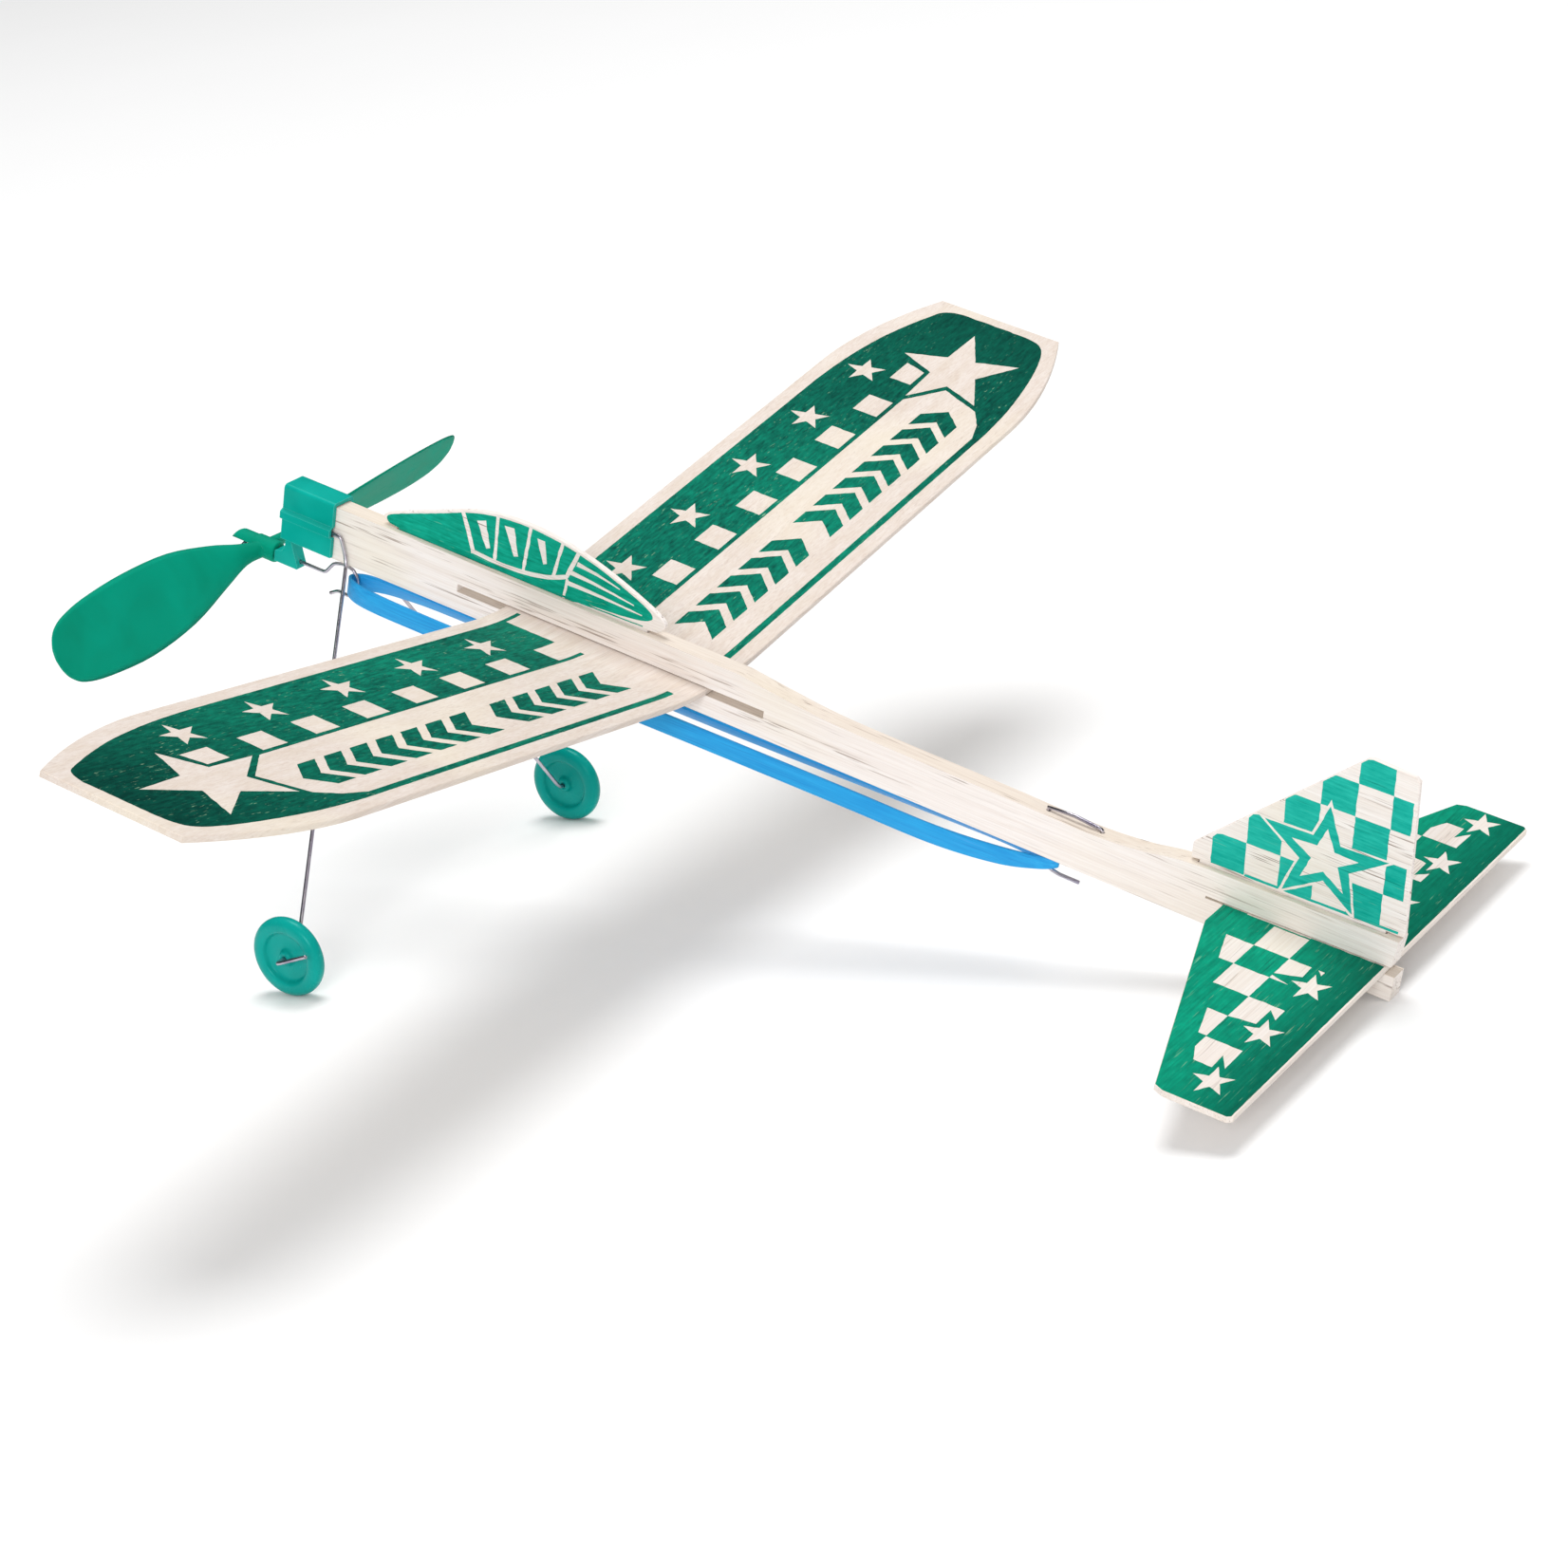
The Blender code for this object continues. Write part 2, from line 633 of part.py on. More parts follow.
def band_knots():
    """Round the loop: x, the y and z of its top edge, and the y and z of its lower edge."""
    port = [
        (124.6, 0.0, -4.0, 0.0, -8.6),
        (121.5, 3.4, -3.5, 3.6, -8.9),
        (114.0, 5.4, -3.2, 5.6, -8.8),
        (98.0, 6.0, -3.2, 6.0, -8.7),
        (60.0, 5.4, -3.4, 5.2, -8.9),
        (20.0, 4.0, -3.5, 3.9, -9.0),
        (-30.0, 3.0, -3.7, 2.9, -9.1),
        (-58.0, 3.0, -3.6, 2.9, -8.9),
        (-76.0, 2.4, -2.4, 2.2, -7.3),
        (-87.0, 1.5, -1.0, 1.4, -4.6),
    ]
    starboard = [
        (-91.3, 0.0, -0.5, 0.0, -3.0),
        (-87.0, -1.4, -0.9, -1.5, -4.2),
        (-74.0, -1.9, -2.4, -3.2, -5.9),
        (-40.0, -2.0, -3.2, -5.2, -7.2),
        (20.0, -2.2, -3.3, -5.8, -7.5),
        (90.0, -2.4, -3.2, -6.0, -7.4),
        (112.0, -2.3, -3.3, -5.2, -7.9),
        (121.0, -2.0, -3.5, -2.9, -8.5),
    ]
    return [tuple(value * MM for value in knot) for knot in port + starboard]


def make_rubber_band(stance, material):
    """A flat band, hanging slack between the shaft's hook and the rear hook."""
    shape = bmesh.new()
    rows = []
    for x, top_y, top_z, low_y, low_z in smooth_curve(band_knots(), 6, closed=True):
        rows.append([shape.verts.new((x, top_y, top_z)), shape.verts.new((x, low_y, low_z))])
    for near, far in zip(rows, rows[1:] + rows[:1]):
        shape.faces.new((near[0], near[1], far[1], far[0]))
    bmesh.ops.recalc_face_normals(shape, faces=shape.faces)
    mesh = bpy.data.meshes.new("rubber_band")
    shape.to_mesh(mesh)
    shape.free()
    band = add_part("rubber_band", mesh, material, stance)
    thickness = band.modifiers.new("thickness", "SOLIDIFY")
    thickness.thickness = BAND_THICKNESS
    thickness.offset = 0
    smooth_shade(band)
    return band


def gear_side(side):
    """The corners of the landing gear wire on one side, from the nose to the wheel's retaining bend."""
    run_y = FUSELAGE_THICKNESS / 2 + GEAR_WIRE_RADIUS + GAP
    hub_y = WHEEL_TRACK / 2
    end_x, end_z = (-9.0 * MM, 6.2 * MM) if side > 0 else (8.8 * MM, -1.5 * MM)
    corners = [
        (NOSE_X + GEAR_WIRE_RADIUS + GAP, run_y, RIB_Z),
        (126.6 * MM, run_y, RIB_Z - 0.4 * MM),
        (124.4 * MM, run_y + 0.3 * MM, 3.0 * MM),
        (123.4 * MM, run_y + 1.0 * MM, 0.8 * MM),
        (WHEEL_X + 0.6 * MM, hub_y - 4.4 * MM, WHEEL_Z + 1.2 * MM),
        (WHEEL_X, hub_y - 3.0 * MM, WHEEL_Z),
        (WHEEL_X, hub_y + 5.2 * MM, WHEEL_Z),
        (WHEEL_X + end_x, hub_y + 5.4 * MM, WHEEL_Z + end_z),
    ]
    return [(x, side * y, z) for x, y, z in corners]


def make_landing_gear(stance, material):
    """One steel wire, held round the nose by the housing, with a leg and an axle at each end."""
    corners = list(reversed(gear_side(-1))) + gear_side(1)
    wire = add_part(
        "landing_gear", rod_mesh(bent_wire(corners, 1.5 * MM, 4), GEAR_WIRE_RADIUS), material, stance
    )
    smooth_shade(wire)
    return wire


def wheel_profile():
    """Radius and side offset, from the bore's outer end over the rim to the bore's inner end."""
    bore = GEAR_WIRE_RADIUS + BORE_CLEARANCE
    hub, web, rim = 1.9 * MM, 0.6 * MM, RIM_HALF_WIDTH
    outer = [
        (bore, hub + 0.3 * MM),
        (1.7 * MM, hub + 0.3 * MM),
        (2.2 * MM, hub - 0.3 * MM),
        (2.5 * MM, web),
        (6.2 * MM, web),
        (7.0 * MM, 0.55 * rim),
        (8.0 * MM, 0.95 * rim),
        (9.1 * MM, rim),
        (10.2 * MM, 0.82 * rim),
        (10.8 * MM, 0.45 * rim),
        (WHEEL_RADIUS, 0),
    ]
    inner = [(radius, -side) for radius, side in reversed(outer[:-1])]
    return outer + inner


def make_wheel(name, stance, side, material):
    """A turned disc with a raised rim and a small hub, on an axle along Y."""
    axle = make_empty(f"{name}_axle", (WHEEL_X, side * WHEEL_TRACK / 2, WHEEL_Z), stance)
    axle.rotation_euler = (-side * pi / 2, 0, 0)
    profile = wheel_profile()
    mesh = bpy.data.meshes.new(name)
    loop = [(i, (i + 1) % len(profile)) for i in range(len(profile))]
    mesh.from_pydata([(radius, 0, height) for radius, height in profile], loop, [])
    wheel = add_part(name, mesh, material, axle)
    turned = wheel.modifiers.new("turned", "SCREW")
    turned.steps = 36
    turned.render_steps = 36
    turned.use_merge_vertices = True
    turned.merge_threshold = 0.00001
    turned.use_smooth_shade = True
    return wheel


def make_stance():
    """Tips the aircraft about Y until the wheels and the heel of the tail are level."""
    reach_x = WHEEL_X - TAIL_X
    distance = hypot(reach_x, WHEEL_Z)
    nose_up = asin(WHEEL_RADIUS / distance) - atan2(WHEEL_Z, reach_x)
    stance = make_empty("stance", (0, 0, 0))
    stance.rotation_euler = (0, -nose_up, 0)
    return stance


def put_origin_under_middle(stance):
    """Moves the aircraft so that the middle of its box's underside is at the world's origin."""
    bpy.context.view_layer.update()
    graph = bpy.context.evaluated_depsgraph_get()
    corners = []
    for obj in parts.objects:
        if obj.type != "MESH":
            continue
        solid = obj.evaluated_get(graph)
        mesh = solid.to_mesh()
        corners += [solid.matrix_world @ vertex.co for vertex in mesh.vertices]
        solid.to_mesh_clear()
    low = Vector([min(corner[i] for corner in corners) for i in range(3)])
    high = Vector([max(corner[i] for corner in corners) for i in range(3)])
    middle = (low + high) / 2
    stance.location = (-middle.x, -middle.y, -low.z)


clear_scene()
parts = make_collection("rubber_band_plane")
cutters = make_collection("cutters")
cutters.hide_render = True
balsa = make_material("balsa", BALSA, 0.75)
green = make_material("green_plastic", GREEN, 0.4)
steel = make_material("steel_wire", STEEL, 0.3, 1.0)
rubber = make_material("blue_rubber", RUBBER, 0.5)

stance = make_stance()
make_fuselage(stance, balsa)
make_cockpit_panel(stance, balsa)
make_fin(stance, balsa)
make_wing(stance, balsa)
make_stabilizer(stance, balsa)
make_nose_housing(stance, green)
propeller_axis = make_empty("propeller_axis", (PROPELLER_X, 0, SHAFT_Z), stance)
make_propeller(propeller_axis, green)
make_propeller_shaft(propeller_axis, steel)
make_rear_hook(stance, steel)
make_rubber_band(stance, rubber)
make_landing_gear(stance, steel)
make_wheel("wheel_left", stance, 1, green)
make_wheel("wheel_right", stance, -1, green)
put_origin_under_middle(stance)
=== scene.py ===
"""Looks of the rubber band plane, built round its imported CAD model.

Shapes are drawn in the aircraft's own frame, in millimetres: +X towards the nose, +Y to port,
+Z up, with Z = 0 on the underside of the fuselage. The matrix AIRCRAFT carries that frame to
the place and the nose-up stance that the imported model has.
"""

import json
from math import asin, cos, hypot, pi, radians, sin, tan

import bmesh
import bpy
from mathutils import Euler, Matrix, Vector, noise
from mathutils.geometry import delaunay_2d_cdt


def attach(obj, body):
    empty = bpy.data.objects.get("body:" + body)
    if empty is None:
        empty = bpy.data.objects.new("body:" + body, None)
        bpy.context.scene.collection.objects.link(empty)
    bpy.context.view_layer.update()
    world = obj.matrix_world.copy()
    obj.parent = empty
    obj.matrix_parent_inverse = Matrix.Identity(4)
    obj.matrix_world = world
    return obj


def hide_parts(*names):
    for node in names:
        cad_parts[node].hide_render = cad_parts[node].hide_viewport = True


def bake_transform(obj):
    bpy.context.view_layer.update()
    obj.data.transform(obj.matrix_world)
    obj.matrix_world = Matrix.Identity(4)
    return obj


MM = 0.001

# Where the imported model's joints are, in the aircraft's frame
PROPELLER_PLACE = Vector((153.3, 0, -6.5))
WHEEL_PLACE = (88.7, 63.7, -79.5)  # the port wheel's

# Every sheet
SHEET = 1.6
EDGE_WEAR = 0.14  # width of the chamfer that handling leaves on a cut edge
MITER_LIMIT = 0.4  # least squared length of the two unit normals' sum at a corner
SHEET_SHARP = radians(25)  # edges that bend more than this are shaded as edges

# Wing
WING_SPAN = 395.0
WING_CHORD = 62.4
WING_LE_X = 73.1
WING_Z = 6.5
DIHEDRAL = radians(10.4)
WING_FLAT_Y = 3.2
WING_BENT_Y = 19.8
TIP_CURVE_Y = 150.0
TIP_LE_SET_BACK = 11.4
TIP_TE_SET_IN = 11.7
TIP_CURVE_POWER = 1.9
BEND_STEPS = 12
CREASE_X = (5.0, 80.0)  # a little past both edges of the sheet

# Stabilizer
STAB_HALF_SPAN = 86.5
STAB_TE_X = -178.7
STAB_TE_Z = 7.55
STAB_ROOT_CHORD = 42.5
STAB_TIP_CHORD = 18.1
STAB_SWEEP_Y = 13.0
STAB_INCIDENCE = radians(1.5)

# Seats of the upright sheets on the fuselage
DECK_Z = 15.0
TAIL_TOP_Z = 15.8
GAP = 0.3
GROOVE_DEPTH = 3.0

# How the edge of a print strays from its outline
STRAY_STEP = 1.3  # distance between the points that stray
STRAY_RATE = 0.9
STRAY_ALONG = 0.22  # along the grain
STRAY_ACROSS = 0.08
STRAY_SEED = 7  # without a seed the edges would stray differently in each run

# Print on the wing, given for the port side: places along the chord (x) and along the span (y)
WING_INK_LE_X = 68.8
WING_INK_TE_X = 14.9
WING_LINE = 1.3  # width of the fine printed lines
BANNER_X = (16.9, 43.1)
SQUARE_X = (44.5, 52.2)
SQUARE_PITCH = 19.83
SQUARE_WIDTH = 8.9
FIRST_SQUARE_Y = 33.7
FIRST_STAR_Y = 32.2
STAR_PITCH = 29.9
STAR_X = 60.0
STAR_RADIUS = 5.8
CHEVRON_X = (23.3, 35.2)
CHEVRON_WIDTH = 6.6
CHEVRON_POINT = 5.4  # how far the tip is ahead of the tails
CHEVRON_PITCH = 9.9
CHEVRON_ROWS = ((19.0, 5), (75.5, 7))  # where each row starts, and how many chevrons it has
SQUARE_COUNT = 6
STAR_COUNT = 5
STAR_STRETCH = 0.4  # how much longer the small stars are along the span

# Print on the fin: a slanted checkerboard
CHECK_WIDTH = 8.8
CHECK_HEIGHT = 8.35
CHECK_SLANT = 0.12
CHECK_RISE = 0.03  # how much each column stands above the one ahead of it
CHECK_CORNER = (-130.0, 15.3)
STAR_HALO = 0.62  # width of the bare line round the large star

# Print on the stabilizer: a checkerboard along the span, printed a little off centre
STAB_CHECK_CHORD = 9.15
STAB_CHECK_SPAN = 11.0
STAB_CHECK_X = -150.2
STAB_CHECK_Y = 6.15
STAB_PRINT_SHIFT = -1.95
STAB_STAR_X = -168.7
STAB_FIRST_STAR_Y = 25.85
STAB_STAR_PITCH = 25.8
STAB_STAR_RADII = (4.7, 6.7)  # along the chord and along the span

# Rubber band
BAND_THICKNESS = 0.9
BAND_CORNER = 0.28  # radius of its edges

# Wheels
WHEEL_STEPS = 96

# Finish of the CAD pieces, with widths in metres
STOCK_EDGE = 0.22 * MM  # the fuselage's eased edges
MOULD_EDGE = 0.25 * MM  # the nose housing's
EASED_ANGLE = radians(35)  # edges that bend more than this are eased
WELD = 0.002 * MM

# Camera and floor
LENS = 87.51  # for a sensor 36 mm wide
CAMERA_PLACE = Vector((-403.99, 749.10, 455.78))
CAMERA_TURN = [radians(angle) for angle in (60.756, -7.705, -148.183)]
FLOOR_HALF_SIZE = 6.0  # metres


# ---------------------------------------------------------------- frame


def aircraft_frame(spin):
    """The matrix from the aircraft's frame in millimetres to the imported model's frame in metres."""
    forward = Vector(spin["axis"]).normalized()
    port = Vector((0, 1, 0))
    turn = Matrix((forward, port, forward.cross(port))).transposed()
    place = Vector(spin["pos_m"]) - turn @ (PROPELLER_PLACE * MM)
    return Matrix.Translation(place) @ turn.to_4x4()


def new_object(name, mesh, materials):
    obj = bpy.data.objects.new(name, mesh)
    bpy.context.scene.collection.objects.link(obj)
    for material in materials:
        obj.data.materials.append(material)
    return obj


def finished_mesh(name, shape):
    """Makes a smooth mesh of a closed shape, with its faces pointing out."""
    bmesh.ops.recalc_face_normals(shape, faces=shape.faces)
    mesh = bpy.data.meshes.new(name)
    shape.to_mesh(mesh)
    shape.free()
    mesh.shade_smooth()
    return mesh


def ring_mesh(name, rings):
    """A closed surface through rings of points, the last of which joins the first."""
    shape = bmesh.new()
    loops = [[shape.verts.new(point) for point in ring] for ring in rings]
    for near, far in zip(loops, loops[1:] + loops[:1]):
        for i in range(len(near)):
            j = (i + 1) % len(near)
            shape.faces.new((near[i], near[j], far[j], far[i]))
    return finished_mesh(name, shape)


# ---------------------------------------------------------------- outlines


def rectangle(x_from, x_to, y_from, y_to):
    return [(x_from, y_from), (x_to, y_from), (x_to, y_to), (x_from, y_to)]


def star(x, y, radius_x, radius_y, turn=0.0, waist=0.39):
    """A five-pointed star with its first point towards +x when turn is 0."""
    points = []
    for i in range(10):
        angle = turn + pi * i / 5
        reach = 1.0 if i % 2 == 0 else waist
        points.append((x + radius_x * reach * cos(angle), y + radius_y * reach * sin(angle)))
    return points


def strip(path, width, end_width=None):
    """A strip along the path, tapering evenly from width to end_width."""
    end_width = width if end_width is None else end_width
    left, right = [], []
    last = len(path) - 1
    for i, (x, y) in enumerate(path):
        x0, y0 = path[max(i - 1, 0)]
        x1, y1 = path[min(i + 1, last)]
        length = hypot(x1 - x0, y1 - y0)
        half = (width + (end_width - width) * i / last) / 2
        across = (-(y1 - y0) / length * half, (x1 - x0) / length * half)
        left.append((x + across[0], y + across[1]))
        right.append((x - across[0], y - across[1]))
    return left + right[::-1]


def smooth_curve(knots, steps=6, closed=False):
    """Points on a smooth curve through the knots, which may have any number of coordinates."""
    count = len(knots)
    points = []
    for i in range(count if closed else count - 1):
        if closed:
            a, b, c, d = (knots[(i + k) % count] for k in (-1, 0, 1, 2))
        else:
            b, c = knots[i], knots[i + 1]
            a = knots[i - 1] if i else b
            d = knots[i + 2] if i + 2 < count else c
        for step in range(steps):
            t = step / steps
            weights = (
                (-t + 2 * t**2 - t**3) / 2,
                (2 - 5 * t**2 + 3 * t**3) / 2,
                (t + 4 * t**2 - 3 * t**3) / 2,
                (-(t**2) + t**3) / 2,
            )
            points.append(tuple(sum(w * q for w, q in zip(weights, column)) for column in zip(a, b, c, d)))
    if not closed:
        points.append(tuple(knots[-1]))
    return points


def inset(outline, distance):
    """The outline moved inwards by distance. It runs anticlockwise, and its miters are limited."""
    moved = []
    count = len(outline)
    for i, (x, y) in enumerate(outline):
        x0, y0 = outline[i - 1]
        x1, y1 = outline[(i + 1) % count]
        before = Vector((y0 - y, x - x0)).normalized()
        after = Vector((y - y1, x1 - x)).normalized()
        miter = before + after
        scale = distance * 2 / max(miter.length_squared, MITER_LIMIT)
        moved.append((x + miter.x * scale, y + miter.y * scale))
    return moved


def anticlockwise(outline):
    area = sum(x0 * y1 - x1 * y0 for (x0, y0), (x1, y1) in zip(outline, outline[1:] + outline[:1]))
    return outline if area > 0 else outline[::-1]


def ragged(outline, grain):
    """The outline as ink takes to wood: it strays a little, and most of all along the grain."""
    along = Vector((1, 0)) if grain == "x" else Vector((0, 1))
    across = Vector((along.y, along.x))
    points = []
    for (x0, y0), (x1, y1) in zip(outline, outline[1:] + outline[:1]):
        count = max(1, round(hypot(x1 - x0, y1 - y0) / STRAY_STEP))
        for i in range(count):
            t = i / count
            place = Vector((x0 + (x1 - x0) * t, y0 + (y1 - y0) * t))
            stray = noise.noise_vector(Vector((place.x * STRAY_RATE, place.y * STRAY_RATE, 5.0)))
            place += along * stray.x * STRAY_ALONG + across * stray.y * STRAY_ACROSS
            points.append((place.x, place.y))
    return points


def holds(outline, box, x, y):
    """Whether the point is inside the outline, whose bounding box is given."""
    if not (box[0] <= x <= box[1] and box[2] <= y <= box[3]):
        return False
    within = False
    x0, y0 = outline[-1]
    for x1, y1 in outline:
        if (y0 > y) != (y1 > y) and x < (x1 - x0) * (y - y0) / (y1 - y0) + x0:
            within = not within
        x0, y0 = x1, y1
    return within


def bounding_box(outline):
    xs, ys = zip(*outline)
    return min(xs), max(xs), min(ys), max(ys)


# ---------------------------------------------------------------- printed sheets


class Sheet:
    """A sheet of wood with a print on one or both of its faces.

    layers is a list of (inked, outline): each one paints ink, or bare wood, over those before it.
    place(x, y, height) gives the 3-D point at a height above the middle of the sheet.
    """

    def __init__(self, outline, layers, grain, place, creases=(), both_faces=False):
        self.rim = anticlockwise(outline)
        self.face = inset(self.rim, EDGE_WEAR)
        self.layers = [(inked, ragged(points, grain)) for inked, points in layers]
        self.place = place
        self.creases = creases
        self.both_faces = both_faces

    def triangles(self):
        """The face's points, and its triangles with whether each one is inked."""
        points, edges = [], []
        for outline in [self.face] + [points for _, points in self.layers]:
            first = len(points)
            points += outline
            edges += [(first + i, first + (i + 1) % len(outline)) for i in range(len(outline))]
        for start, end in self.creases:
            edges.append((len(points), len(points) + 1))
            points += [start, end]
        found = delaunay_2d_cdt([Vector(p) for p in points], edges, [], 0, 1e-5, False)
        places, faces = found[0], found[2]
        face_box = bounding_box(self.face)
        boxed = [(inked, outline, bounding_box(outline)) for inked, outline in self.layers]
        kept = []
        for face in faces:
            x = sum(places[i].x for i in face) / 3
            y = sum(places[i].y for i in face) / 3
            if not holds(self.face, face_box, x, y):
                continue
            inked = False
            for ink, outline, box in boxed:
                if ink != inked and holds(outline, box, x, y):
                    inked = ink
            kept.append((face, inked))
        return places, kept

    def mesh(self, name):
        """Two faces joined by a worn edge. Material 0 is wood and material 1 is ink."""
        places, kept = self.triangles()
        half = SHEET / 2
        shape = bmesh.new()
        top, bottom = {}, {}
        for i in {i for face, _ in kept for i in face}:
            x, y = places[i]
            top[i] = shape.verts.new(self.place(x, y, half))
            bottom[i] = shape.verts.new(self.place(x, y, -half))
        sides = {}  # the directed edges that only one triangle has, which make up the rim
        for face, inked in kept:
            shape.faces.new([top[i] for i in face]).material_index = int(inked)
            under = shape.faces.new([bottom[i] for i in reversed(face)])
            under.material_index = int(inked and self.both_faces)
            for a, b in zip(face, face[1:] + face[:1]):
                if (b, a) in sides:
                    del sides[(b, a)]
                else:
                    sides[(a, b)] = None
        following = {a: b for a, b in sides}
        leading = {b: a for a, b in sides}
        upper, lower = {}, {}
        for i in following:
            ring = [tuple(places[leading[i]]), tuple(places[i]), tuple(places[following[i]])]
            x, y = inset(ring, -EDGE_WEAR)[1]
            upper[i] = shape.verts.new(self.place(x, y, half - EDGE_WEAR))
            lower[i] = shape.verts.new(self.place(x, y, EDGE_WEAR - half))
        for a, b in following.items():
            for above, below in ((top, upper), (upper, lower), (lower, bottom)):
                shape.faces.new((above[a], below[a], below[b], above[b]))
        mesh = finished_mesh(name, shape)
        mesh.set_sharp_from_angle(angle=SHEET_SHARP)
        return mesh


def mirrored(layers):
    """The layers, and the same ones on the other side of y = 0."""
    return layers + [(inked, [(x, -y) for x, y in points]) for inked, points in layers]


# ---------------------------------------------------------------- wing


def wing_rise(y):
    """How far the wing sheet stands above its root at a place along the span."""
    y = abs(y)
    slope = tan(DIHEDRAL)
    if y < WING_FLAT_Y:
        return 0.0
    if y < WING_BENT_Y:
        return slope * (y - WING_FLAT_Y) ** 2 / (2 * (WING_BENT_Y - WING_FLAT_Y))
    return slope * (y - (WING_BENT_Y + WING_FLAT_Y) / 2)


def wing_place(x, y, height):
    """A point of the wing at a height above the middle of the bent sheet."""
    reach = min(max(abs(y) - WING_FLAT_Y, 0) / (WING_BENT_Y - WING_FLAT_Y), 1)
    slope = tan(DIHEDRAL) * reach * (1 if y > 0 else -1)
    lean = hypot(1, slope)
    return (x, y - height * slope / lean, WING_Z + wing_rise(y) + height / lean)


def wing_edges(y):
    along = max(0.0, (abs(y) - TIP_CURVE_Y) / (WING_SPAN / 2 - TIP_CURVE_Y))
    bend = along**TIP_CURVE_POWER
    return (
        WING_LE_X - WING_CHORD + TIP_TE_SET_IN * bend,
        WING_LE_X - TIP_LE_SET_BACK * bend,
    )


def wing_outline():
    steps = 16
    tip = [TIP_CURVE_Y + (WING_SPAN / 2 - TIP_CURVE_Y) * i / steps for i in range(steps + 1)]
    leading = [(wing_edges(y)[1], y) for y in tip]
    trailing = [(wing_edges(y)[0], y) for y in reversed(tip)]
    half = leading + trailing
    return half + [(x, -y) for x, y in reversed(half)]


def wing_ink_outline():
    """The printed field: stepped at the root, then round the tip and back along the trailing edge."""
    tip = smooth_curve(
        [
            (WING_INK_LE_X, 140.0),
            (68.0, 153.5),
            (66.0, 167.5),
            (63.2, 178.5),
            (60.3, 187.0),
            (58.2, 191.6),
            (54.0, 193.8),
            (48.0, 194.0),
        ],
        4,
    ) + smooth_curve(
        [
            (33.0, 193.9),
            (27.2, 192.9),
            (23.6, 189.4),
            (20.6, 181.5),
            (17.9, 170.0),
            (15.8, 156.5),
            (WING_INK_TE_X, 143.0),
        ],
        4,
    )
    root = [
        (WING_INK_TE_X, 12.0),
        (BANNER_X[0], 12.0),
        (BANNER_X[0], 30.0),
        (BANNER_X[1], 30.0),
        (BANNER_X[1], 10.8),
        (BANNER_X[1] + WING_LINE, 10.8),
        (BANNER_X[1] + WING_LINE, 20.8),
        (SQUARE_X[1], 20.8),
        (SQUARE_X[1], 11.0),
        (WING_INK_LE_X - WING_LINE, 11.0),
        (WING_INK_LE_X - WING_LINE, 1.0 + WING_FLAT_Y),
        (WING_INK_LE_X, 1.0 + WING_FLAT_Y),
    ]
    return root + tip


def wing_banner():
    """The bare band along the wing, cut to a point beside the large star."""
    near, far = BANNER_X
    return [
        (near, 11.0),
        (far, 10.0),
        (far, 145.0),
        (35.7, 156.0),
        (23.2, 151.3),
        (19.2, 145.5),
        (near, 139.0),
    ]


def wing_chevrons():
    """Arrow stripes along the banner, in a short row and a long one."""
    near, far = CHEVRON_X
    middle = (near + far) / 2
    chevrons = []
    for first, count in CHEVRON_ROWS:
        for i in range(count):
            tail = first + CHEVRON_PITCH * i
            head = tail + CHEVRON_WIDTH
            chevrons.append(
                [
                    (near, tail),
                    (near, head),
                    (middle, head + CHEVRON_POINT),
                    (far, head),
                    (far, tail),
                    (middle, tail + CHEVRON_POINT),
                ]
            )
    return chevrons


def wing_layers():
    layers = [(True, wing_ink_outline()), (False, wing_banner())]
    layers += [(True, outline) for outline in wing_chevrons()]
    for i in range(SQUARE_COUNT):
        y = FIRST_SQUARE_Y + SQUARE_PITCH * i
        layers.append((False, rectangle(*SQUARE_X, y, y + SQUARE_WIDTH)))
    far = SQUARE_X[1]
    last = FIRST_SQUARE_Y + SQUARE_PITCH * SQUARE_COUNT
    layers.append((False, [(45.5, last), (far, last), (far, last + 9.6), (45.5, last + 7.8)]))
    for i in range(STAR_COUNT):
        y = FIRST_STAR_Y + STAR_PITCH * i
        layers.append((False, star(STAR_X, y, STAR_RADIUS, STAR_RADIUS + STAR_STRETCH)))
    large_star = [
        (55.7, 166.4),
        (44.3, 161.7),
        (43.6, 147.0),
        (36.5, 158.1),
        (25.0, 153.8),
        (31.9, 166.0),
        (24.7, 178.5),
        (36.4, 173.7),
        (43.9, 186.0),
        (44.3, 171.5),
    ]
    layers.append((False, large_star))
    return mirrored(layers)


def wing_creases():
    """Lines across the sheet, close enough together for a smooth bend."""
    behind, ahead = CREASE_X
    width = WING_BENT_Y - WING_FLAT_Y
    stations = [WING_FLAT_Y + width * i / BEND_STEPS for i in range(BEND_STEPS + 1)]
    return [((behind, side * y), (ahead, side * y)) for y in stations for side in (1, -1)]


# ---------------------------------------------------------------- stabilizer


def stab_outline():
    nick = 1.2
    half = [
        (STAB_ROOT_CHORD, STAB_SWEEP_Y),
        (STAB_TIP_CHORD + nick, STAB_HALF_SPAN - nick),
        (STAB_TIP_CHORD - nick, STAB_HALF_SPAN),
        (nick, STAB_HALF_SPAN),
        (0, STAB_HALF_SPAN - nick),
    ]
    return [(x + STAB_TE_X, y) for x, y in half + [(x, -y) for x, y in reversed(half)]]


def stab_place(x, y, height):
    """A point of the stabilizer, whose trailing edge is a little raised."""
    back = x - STAB_TE_X
    return (
        STAB_TE_X + back * cos(STAB_INCIDENCE) + height * sin(STAB_INCIDENCE),
        y,
        STAB_TE_Z - back * sin(STAB_INCIDENCE) + height * cos(STAB_INCIDENCE),
    )


